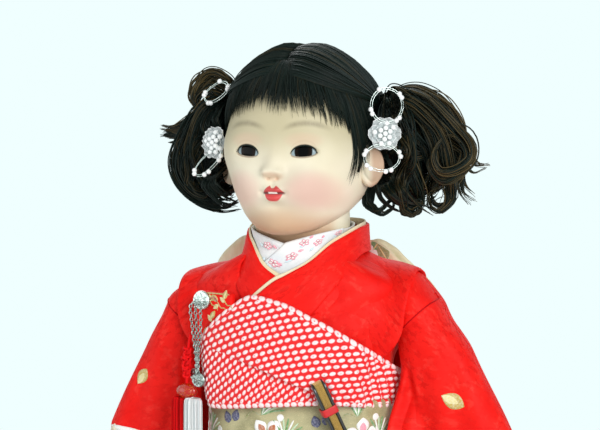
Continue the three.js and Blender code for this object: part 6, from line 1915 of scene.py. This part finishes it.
t, v = once_round(64), np.linspace(-1, 1, 40)[:, None]
soft = np.sqrt(np.clip(1 - np.clip((np.abs(v) - 0.93) / 0.07, 0, 1) ** 2, 0.02, 1))
x, y = squared(t, CASE_HALF[0] - 1.6 * (1 - soft), CASE_HALF[1] * soft, 7)
case = Piece().skin(on_case(stack(x, y, CASE_HALF[2] * v)), uv=stack(x, CASE_HALF[2] * v))
case.make("silk_case", "case", red_silk, "red_silk", replaces=["pocket_case"])


def case_face(a, b, out):
    """Front of the case: across and up from its middle."""
    return on_case(stack(a, -CASE_HALF[1] - 0.02 - out, b))


gold = Piece()
STITCHED = [
    (-3, 14, 0.3), (3, 13, 2.4), (7.5, 14.5, 1.2), (8, 4, -0.8), (2, -2, 1.9), (-2, 4, 0.9), (9, -6, 2.2),
    (-6, -6, 1.4),
]
for k, (a, b, turn_) in enumerate(STITCHED):
    patch(gold, case_face, (a, b), turn_, leaf(5.2, 1.5), "gold", 0.25)
    patch(gold, case_face, (a, b), turn_, leaf(4.2, 0.8), ("russet", "deep_red", "pale_gold")[k % 3], 0.35)
    patch(gold, case_face, (a + 0.6, b - 1.6), turn_ + 1.3, leaf(4.2, 1.2), "pale_gold", 0.25)
    stroke(gold, case_face, [(a, b), (a + 2.4, b - 3), (a + 5, b - 3.2), (a + 6.2, b - 5.6)], 0.5, "gold")
stroke(gold, case_face, [(-11.4, 17.0), (0, 17.2), (11.4, 17.0)], 0.7, "gold")
gold.make("case_embroidery", "case", embroidery, "red_silk")

# %% Boss, chains and discs
BOSS_AT, BOSS_R = np.array([-7.5, -2.4, 13.2]), 5.0
rho, phi = np.linspace(1, 0.03, 18)[:, None], once_round(64)


def stamped(radius, high, petals):
    """Round stamped plate: a low dome with a raised rim and a ring of embossed petals."""
    petal_ = 0.24 * np.cos(petals * phi) * hump(rho, 0.55, 0.22)
    rim_ = 0.4 * hump(rho, 0.9, 0.06) + 0.5 * hump(rho, 0, 0.16)
    dome = high * np.sqrt(np.clip(1 - (0.94 * rho) ** 2, 0, 1))
    x, z = 1.15 * radius * rho * np.cos(phi), radius * rho * np.sin(phi)
    return np.concatenate([stack(x, 0.1, z)[::-1], stack(x, -(dome + petal_ + rim_), z)])


boss = Piece().skin(on_case(BOSS_AT + stamped(BOSS_R, 2.2, 9)))
boss.make("stamped_boss", "case", silver, "silver", replaces=["silver_boss"])

links = Piece()
HOOK_Y, CHAIN_Y, CHAIN_TOP, CHAIN_LONG, LINKS = -3.1, -7.4, 12.4, 36.8, 24
ring = np.linspace(0, 2 * np.pi, 11)
apart, out, down = np.array([(1, 0, 0), (1, 1, 0.05), (0.85, 1, 0.3), (0.25, 1, 0.75), (0.1, 1, 1)]).T
for side in (-1, 0, 1):
    across = BOSS_AT[0] + 3.7 * side * apart + 1.2 * down
    way = stack(across, lerp(HOOK_Y, CHAIN_Y, out), CHAIN_TOP - CHAIN_LONG * down)
    path = smooth_path(on_case(way), LINKS)
    tangent = unit(np.gradient(path, axis=0))
    across = unit(np.cross(tangent, [0.2, 1.0, 0.1]))
    third = np.cross(tangent, across)
    lean = np.where(np.arange(LINKS) % 2 == 0, 0.6, -0.9)[:, None]
    width = across * np.cos(lean) + third * np.sin(lean)
    loops = path[:, None] + tangent[:, None] * (1.05 * np.cos(ring))[:, None]
    loops = loops + width[:, None] * (0.8 * np.sin(ring))[:, None]
    threads(links, loops, 0.3, sides=5)
links.make("chain_links", "chains", shade_dark_silver, "silver", replaces=["silver_chains"])

plates = Piece().skin(on_case(np.array([-6.2, CHAIN_Y + 0.6, -28.2]) + stamped(3.9, 0.7, 7)))
plates.skin(on_case(np.array([-9.4, CHAIN_Y + 1.5, -25.6]) + stamped(3.3, 0.5, 5)))
plates.make("stamped_discs", "chains", shade_dark_silver, "silver", replaces=["silver_discs"])

# %% Knotted cord, bead and tassels
BEAD_AT, BEAD_HALF = np.array([-14.1, -7.44, -34.6]), np.array([6.2, 4.2, 4.0])
TASSEL_TOP, TASSEL_LONG, TASSEL_THREADS = -37.9, 46, 420
knotted = Piece()
route = [(-11.9, -6.84, -4), (-14.1, -7.24, -17.5), (-14.1, -7.44, -31)]
tube(knotted, on_case(route), 0.8, steps=40, sides=8, tint=0.6)
t = np.linspace(0, 2 * np.pi, 60)
trefoil = stack(np.sin(t) + 2 * np.sin(2 * t), -1.1 * np.sin(3 * t), np.cos(t) - 2 * np.cos(2 * t))
for at, size in (((-13.6, -7.5, -14.0), 0.95), ((-14.2, -7.5, -19.4), 1.15), ((-14.0, -7.6, -24.8), 0.9)):
    path, normal, binormal = along_path(on_case(np.array(at) + trefoil * size), 90)
    braided(knotted, path, normal, binormal, 0.85, 0.85, 0.9)
knotted.make("knotted_cord", "tassels", red_thread, "red_thread", replaces=["tassel_cord"])

t, a = np.linspace(0.03, np.pi - 0.03, 22)[:, None], once_round(40)
ribs = 1 + 0.05 * np.cos(10 * a) * np.sin(t) ** 3
flecks = np.sin(3 * a + 5 * t) * np.sin(4 * t) > 0.35
bead = Piece().skin(on_case(BEAD_AT + BEAD_HALF * sphere(t, a) * stack(ribs, ribs, 1)), tint=flecks)


def bead_paint(nodes):
    """Red glass bead with flecks of gold leaf under its skin."""
    fleck = (nodes.noise(nodes.here(), 1.3, 3.0) + nodes.tint() * 0.06).step(0.58, 0.66)
    return {"Base Color": nodes.mix(fleck, srgb("#b41602"), srgb("#c8701a")), "Roughness": 0.2 + fleck * 0.15}


bead_glass = finish("gold_flecked_bead", bead_paint, coat_weight=0.15)
bead.make("flecked_bead", "tassels", bead_glass, "red_thread", replaces=["tassel_bead"])


def tassel(name, x, threads_finish, slot, node):
    """Bundle of threads on a short cord: each starts on a small ring, swells and hangs to its cut end."""
    bundle = Piece()
    count = TASSEL_THREADS
    a = dice.uniform(0, 2 * np.pi, count)
    r = np.sqrt(dice.uniform(0.05, 1, count))
    f = np.linspace(0, 1, 14) ** 1.8
    spread = np.interp(f, [0, 0.01, 0.035, 0.1, 1], [2.6, 4.3, 5.0, 5.2, 5.4])
    long = TASSEL_LONG + dice.normal(0, 0.7, count)
    wave = 0.22 * np.sin(9 * f[None] + a[:, None] * 3)
    px = x + (r[:, None] * spread * np.cos(a)[:, None]) + wave
    py = BEAD_AT[1] + 0.82 * (r[:, None] * spread * np.sin(a)[:, None]) - wave
    pz = TASSEL_TOP - long[:, None] * f
    threads(bundle, on_case(stack(px, py, pz)), 0.2, tint=dice.uniform(0, 1, count))
    ends = [((x + BEAD_AT[0]) / 2, BEAD_AT[1], -36.5), (x, BEAD_AT[1], -38.6)]
    tube(bundle, on_case(ends), 0.6, steps=5, sides=6, tint=0.7)
    return bundle.make(name, "tassels", threads_finish, slot, replaces=[node])


tassel("red_threads", -18.7, red_thread, "red_thread", "red_tassel")
tassel("white_threads", -9.5, white_thread, "white_thread", "white_tassel")

# %% [markdown]
# ## Folding fan
# The closed fan slides behind the sash with its guards showing. Its leaf is folded paper, so its edge is a
# row of sharp pleats, gold on the ridges and brown in the folds, where the brown is painted shade. A red
# paper band keeps it shut and a rivet joins its ribs.

# %% Fan
FAN_SEAT, FAN_UP = np.array([31.4, -42.0, 224.6]), unit(np.array([-0.329, -0.292, 0.898]))
SEAT_ANGLE, SEAT_Z = np.radians(-50), 218.0
fan_out = away(robe_body, SEAT_ANGLE, SEAT_Z, 1.0) - robe_body(SEAT_ANGLE, SEAT_Z)
fan_out = unit(fan_out * [1, 1, 0])
fan_side = unit(np.cross(fan_out, FAN_UP))
fan_face = np.cross(FAN_UP, fan_side)


def on_fan(points):
    """Points measured on the fan: across it, out of its face and up along it from its seat."""
    return FAN_SEAT + np.asarray(points, float) @ np.stack([fan_side, fan_face, FAN_UP])


FAN_LOW, FAN_HIGH = -47.0, 23.0
pleats = Piece()
q = np.linspace(-1, 1, 61)
zig = 2 * np.abs(np.mod(q * 4.5, 1) - 0.5)
rows = np.linspace(0, 1, 14)[:, None]
up = lerp(FAN_LOW, FAN_HIGH, rows)
wide = lerp(1.5, 2.1, rows)
# The value follows the pleats: gold on the ridges and painted shade in the folds.
pleats.sheet(lambda out: on_fan(stack(wide * q, out, up)), 2.2 + 0.85 * zig, tint=zig ** 0.7)
pleats.make("pleated_leaf", "fan", gold_paper, "gold_paper", replaces=["fan_leaf"], smooth=False)


def guard(x, name, node):
    """Lacquered outer rib: a flat bar with rounded edges that narrows towards the rivet."""
    rows = np.linspace(0, 1, 26)[:, None]
    cap = np.sqrt(np.clip(1 - np.clip((np.abs(2 * rows - 1) - 0.97) / 0.03, 0, 1) ** 2, 0.05, 1))
    a, b = squared(once_round(24), 0.85 * cap, lerp(2.6, 3.5, rows) * cap, 5)
    bar = Piece().skin(on_fan(stack(x + a, b, lerp(FAN_LOW, FAN_HIGH + 0.6, rows))))
    return bar.make(name, "fan", lacquer, "black_lacquer", replaces=[node])


guard(-2.95, "near_guard", "fan_left_guard")
guard(2.95, "far_guard", "fan_right_guard")
t, rows = once_round(64), np.linspace(5.0, 9.0, 8)[:, None]
outer = stack(*squared(t, 4.25, 3.9, 6), rows + 0.08 * np.sin(3 * t))
inner = stack(*squared(t, 3.95, 3.6, 6), rows)
strip = Piece().slab(on_fan(outer), on_fan(inner), loop=True, tint=0.6)
strip.make("paper_band", "fan", red_paper, "red_paper", replaces=["fan_band"])
rivet = Piece()
for face_ in (1, -1):
    ball(rivet, on_fan([face_ * 3.9, 0, -43]), 1.3, rows=12, cols=20)
rivet.make("rib_rivet", "fan", silver, "silver", replaces=["fan_rivet"])

# %% [markdown]
# ## Arms, hands and feet
# The upper arms are padded cloth inside the sleeves. The forearms and hands are composition with the same
# shell-white coat as the head, and the fingers are only grooved apart. Split-toe socks stand in sandals under
# the hem.

# %% Arms and hands
ARM_TOP, ELBOW, WRIST = np.array([(66.0, 0, 283), (85.1, -2.6, 245.7), (104.1, -5.2, 208.3)])
LIMB_ROWS = 30
arm_down = unit(WRIST - ARM_TOP)
palm_out = unit(np.cross(arm_down, [0.0, -1.0, 0.0]))
thumb_way = np.cross(palm_out, arm_down)
hand_axes = np.stack([arm_down, thumb_way, palm_out])


def limb(start, end, radii, cols=36):
    """Round limb between two points, with its radius going through the given values along the way."""
    share = np.linspace(0, 1, LIMB_ROWS)
    r = stations([(k / (len(radii) - 1), value) for k, value in enumerate(radii)])(share)[:, :1]
    t = once_round(cols)
    way = unit(end - start)
    a = unit(np.cross(way, [0.0, 1.0, 0.0]))
    b = np.cross(way, a)
    line = start + (end - start) * share[:, None]
    return line[:, None] + (r * np.cos(t))[..., None] * a + (r * np.sin(t))[..., None] * b


def hand(k, t):
    """Mitten hand: a flat oval along the arm with three grooves between the fingers."""
    width = np.interp(k, [0, 0.15, 0.4, 0.6, 0.85, 0.97, 1], [4.6, 5.2, 6.3, 6.4, 5.4, 3.4, 0.6])
    thick = np.interp(k, [0, 0.2, 0.5, 0.8, 0.96, 1], [4.6, 4.4, 4.0, 3.0, 1.9, 0.4])
    across, deep = width * np.cos(t), thick * np.sin(t)
    groove = sum(hump(across, at, 0.45) for at in (-3.1, 0.0, 3.1))
    deep = deep * (1 - 0.32 * groove * ramp(k, 0.42, 0.6))
    long = 27 * k - 2.2 * (across / 6) ** 2 * k
    curl = 3.2 * ramp(k, 0.45, 1.0) ** 2
    return WRIST + stack(long, across, deep - curl) @ hand_axes


thumb = WRIST + np.array([(5, 4.0, 0), (10, 7.6, -1.5), (15.5, 7.8, -3.2)]) @ hand_axes
for name, side in SIDES:
    upper = Piece().skin(mirrored(limb(ARM_TOP, ELBOW, (4.0, 5.0, 5.8, 6.0, 5.6)), side))
    upper = upper.make(f"{name}_padded_arm", f"{name}_arm", cotton, "white_cotton",
                       replaces=[f"{name}_upper_arm"])
    lower = Piece().skin(mirrored(limb(ELBOW, WRIST, (5.6, 6.2, 6.0, 5.5, 4.9, 4.7)), side))
    lower.skin(mirrored(hand(np.linspace(0, 1, 40)[:, None], once_round(72)), side))
    tube(lower, mirrored(thumb, side), lambda f: 2.3 * np.sqrt(1 - 0.9 * f ** 4), steps=16, sides=14)
    lower.make(f"{name}_hand", f"{name}_arm", bare_shell, "shell_white", replaces=[f"{name}_forearm"])

# %% Socks, under-robe and carried parts
STANCE, SOLE, ANKLE_LOW, ANKLE_TOP = 15.0, 7.4, 12.0, 36.0
foot_profile = stations([(-40, 2.0, 2.5), (-38, 5.5, 6.5), (-33, 8.4, 9.5), (-24, 9.4, 12.5),
                         (-12, 8.6, 17.0), (0, 7.8, 21), (8, 7.6, 21), (12, 5.6, 18), (13.4, 1.5, 8)])
y = np.linspace(-40, 13.4, 60)[:, None]
t = once_round(64)
half, tall = np.moveaxis(foot_profile(y), -1, 0)
across = half * np.sign(np.cos(t)) * np.abs(np.cos(t)) ** 0.8
rise = SOLE + tall * (0.42 + np.where(np.sin(t) > 0, 0.58, 0.42) * np.sign(np.sin(t))
                      * np.abs(np.sin(t)) ** 0.8)
for name, side in SIDES:
    split = hump(across, -1.9 * side, 0.8) * ramp(-y, 26, 33)
    foot = stack(side * STANCE + across, y + 3.4 * split, rise - 1.6 * split * (np.sin(t) > 0))
    sock = Piece().skin(foot, uv=stack(across, y))
    heel, shin = np.array([(side * STANCE, 3.0, ANKLE_LOW), (side * STANCE, 3.0, ANKLE_TOP)])
    ankle = limb(heel, shin, (8.0, 8.8, 9.3, 9.8), cols=48)
    sock.skin(ankle, uv=stack(9 * once_round(48), np.linspace(ANKLE_LOW, ANKLE_TOP, LIMB_ROWS)[:, None]))
    sock.make(f"{name}_split_sock", "body", cotton, "white_cotton", replaces=[f"{name}_sock"])

angle, up = once_round(160), np.linspace(0, 1, 40)[:, None]
low = HEM - 1.5 + 6 * ramp(-np.sin(angle), 0.5, 0.95)
height = lerp(low, 150.0, up)
inside = -3.0 + 0.8 * np.cos(7 * angle + 0.6) * ramp(height, 80, 20)
uv = stack(AROUND_UV * angle, height)
hem = Piece().sheet(lambda out: away(robe_body, angle, height, inside + out), 0.5 * rounded(up, 0.03),
                    loop=True, uv=uv)
under_piece = hem.make("white_under_robe", "body", white_silk, "under_silk", replaces=["under_robe"])


def sandal_paint(nodes):
    """Red lacquer over a wooden sole, with clouds of a deeper tone."""
    cloud = nodes.noise(nodes.here(), 0.08, 3.0)
    red = nodes.mix(cloud.step(0.3, 0.7), srgb("#a30f12"), srgb("#c21a1b"))
    return {"Base Color": red, "Roughness": 0.22 + cloud * 0.2}


sandal_lacquer = finish("red_lacquer", sandal_paint, coat_weight=0.3)
gold_cord = finish("gold_cord", spun("#e2cf93", "#b3934d"))
CARRIED = {
    "torso": bare_shell, "neck_peg": wood, "left_shoulder_pin": wood, "right_shoulder_pin": wood,
    "left_leg": bare_shell, "right_leg": bare_shell, "left_sandal": sandal_lacquer,
    "right_sandal": sandal_lacquer, "left_sandal_strap": gold_cord, "right_sandal_strap": gold_cord,
}
for node, material in CARRIED.items():
    slots = frame["nodes"][node].data.materials
    slots.clear()
    slots.append(material)
print("carried over:", sorted(CARRIED))

# %% [markdown]
# ## Petals on the silk
# Gold and pale bands are brushed over the sleeves, loose petals drift down them, and pink blossoms are
# stitched on the white collar. They are patches on the surface of the cloth itself, so they ride with it and
# follow its curves.

# %% Blossoms on the white collar
def white_face(a, b, out):
    """The white collar unrolled: 24 mm along it is one radian round the neck, and 30 mm is its height."""
    return under_collar(a / WHITE_UV[0], np.clip(b / WHITE_UV[1], 0.02, 0.98), 1.75 + out)


pinks = Piece()
PINKS_AT = [
    (-84, 20), (-62, 12), (-56, 23), (-40, 16), (-30, 24), (-75, 8), (-98, 15), (-20, 19), (-108, 24),
    (-48, 8), (-70, 26), (-116, 12),
]
for k, (degrees_, b) in enumerate(PINKS_AT):
    at = np.array([WHITE_UV[0] * np.radians(degrees_), b])
    edge, inner = (("pink", "white"), ("white", "pink"))[k % 2]
    first, second = (("pink", "pale_blue"), ("pale_blue", "pink"))[k % 2]
    blossom(pinks, white_face, at, 0.8 * k, (2.0, 1.5)[k % 2], 5, edge, inner, "rose")
    patch(pinks, white_face, at + [2.6, 1.8], 0.7 * k, leaf(2.4, 0.7), first, 0.2)
    patch(pinks, white_face, at - [2.4, 2.0], 1.9 * k, leaf(2.6, 0.7), second, 0.2)
pinks.make("collar_blossoms", "body", embroidery, "under_silk")

# %% Petals and bands on the sleeves
def sleeve_face(side):
    """Front of a sleeve: across from the middle of the doll, and height over the floor."""
    def face(a, b, out):
        inside, outside, _ = sleeve_section(b - ARM_Z, side)
        share = np.clip((a - ARM_X - (inside + outside) / 2) / ((outside - inside) / 2), -0.985, 0.985)
        bent = np.sign(share) * np.abs(share) ** 1.25
        round_ = np.arccos(np.clip(bent, -1, 1))
        point = sleeve_ring(b - ARM_Z, round_, 0.0, side)
        return mirrored(point + stack(0, -out - 0.05, 0), side)
    return face


DRIFTING = {
    1: [(80.5, 237, -0.45, 1.0), (84, 150, 2.4, 0.8), (92, 120, 1.0, 0.8), (70, 170, 2.0, 0.7),
        (78, 100, 0.4, 0.8)],
    -1: [(90, 236, 2.2, 0.8), (72, 186, 0.7, 0.8), (90, 150, 1.9, 0.9), (80, 118, 0.3, 0.8),
         (92, 98, 2.6, 0.7)],
}
BAND_COLOURS = ("white", "pale_blue", "pale_gold")
for name, side in SIDES:
    face = sleeve_face(side)
    drift = Piece()
    for a, b, turn_, size in DRIFTING[side]:
        patch(drift, face, (a, b), turn_, leaf(13 * size, 4.2 * size, 0.3), "gold", 0.3)
        patch(drift, face, (a, b), turn_, leaf(9.5 * size, 2.6 * size, 0.3), "pale_gold", 0.4)
    for k, high in enumerate((212, 207, 203.5)):
        line = [(64, high - 22), (76, high - 10), (90, high - 3), (108 - 2 * k, high)]
        stroke(drift, face, line, (3.2, 2.2, 1.4)[k], BAND_COLOURS[k], 0.3, steps=36)
    for k, high in enumerate((166, 160, 140)):
        line = [(63.5, high - 14), (74, high), (86, high + 4), (97.5, high - 4)]
        stroke(drift, face, line, (4.0, 2.0, 3.0)[k], BAND_COLOURS[k], 0.3, steps=36)
    drift.make(f"{name}_sleeve_petals", f"{name}_arm", embroidery, "red_silk")

# %% Sleeve seams
across, grid = np.linspace(23, -5, 30), np.linspace(0.02, np.pi - 0.02, 400)
for name, side in SIDES:
    rings = sleeve_ring((3 - 0.94 * (20 - across))[:, None], grid[None], -0.1, side)
    nearest = np.argmin(np.abs(rings[..., 0] - ARM_X - across[:, None]), axis=1)
    seam = Piece()
    tube(seam, mirrored(rings[np.arange(len(across)), nearest], side), 0.42, steps=60, sides=6)
    seam.make(f"{name}_sleeve_seam", f"{name}_arm", red_thread, "red_thread")

# %% [markdown]
# ## Cloth and its cut sizes
# Each garment is listed with the size that it was cut to, how it is held and what lies under it, and the area
# of its cloth is printed beside the cut.

# %% Cloth and its cut sizes
def cloth_area(piece):
    """Half the surface of a closed cloth body, in square metres."""
    areas = np.empty(len(piece.data.polygons), np.float32)
    piece.data.polygons.foreach_get("area", areas)
    return float(areas.sum()) / 2


CUTS = [
    (kimono_piece, (0.31, 0.26), None, "draped", "white_under_robe"),
    (under_piece, (0.26, 0.14), None, "draped", "torso"),
    (yoke_piece, (0.17, 0.095), None, "laid", "kimono"),
    (red_collar_piece, (0.024, 0.21), None, "folded", "kimono"),
    (trim_piece, (0.01, 0.25), 0.00112, "folded", "red_collar"),
    (white_piece, (0.02, 0.18), None, "folded", "red_collar"),
    (sleeves[1], (0.115, 0.215), None, "hung", "left_padded_arm"),
    (sleeves[-1], (0.115, 0.21), None, "hung", "right_padded_arm"),
    (bustle_piece, (0.14, 0.075), None, "gathered", "kimono"),
    (sash_piece, (0.065, 0.3), None, "stretched", "kimono"),
    (bow_wings[0], (0.08, 0.15), None, "folded", "bow_wrap"),
    (bow_wings[1], (0.08, 0.148), None, "folded", "bow_wrap"),
    (tail_piece, (0.044, 0.074), None, "hung", "bow_wrap"),
]
for piece, flat, area, held, under in CUTS:
    print(piece.name, "measures", round(cloth_area(piece), 5), "m2, cut", flat)
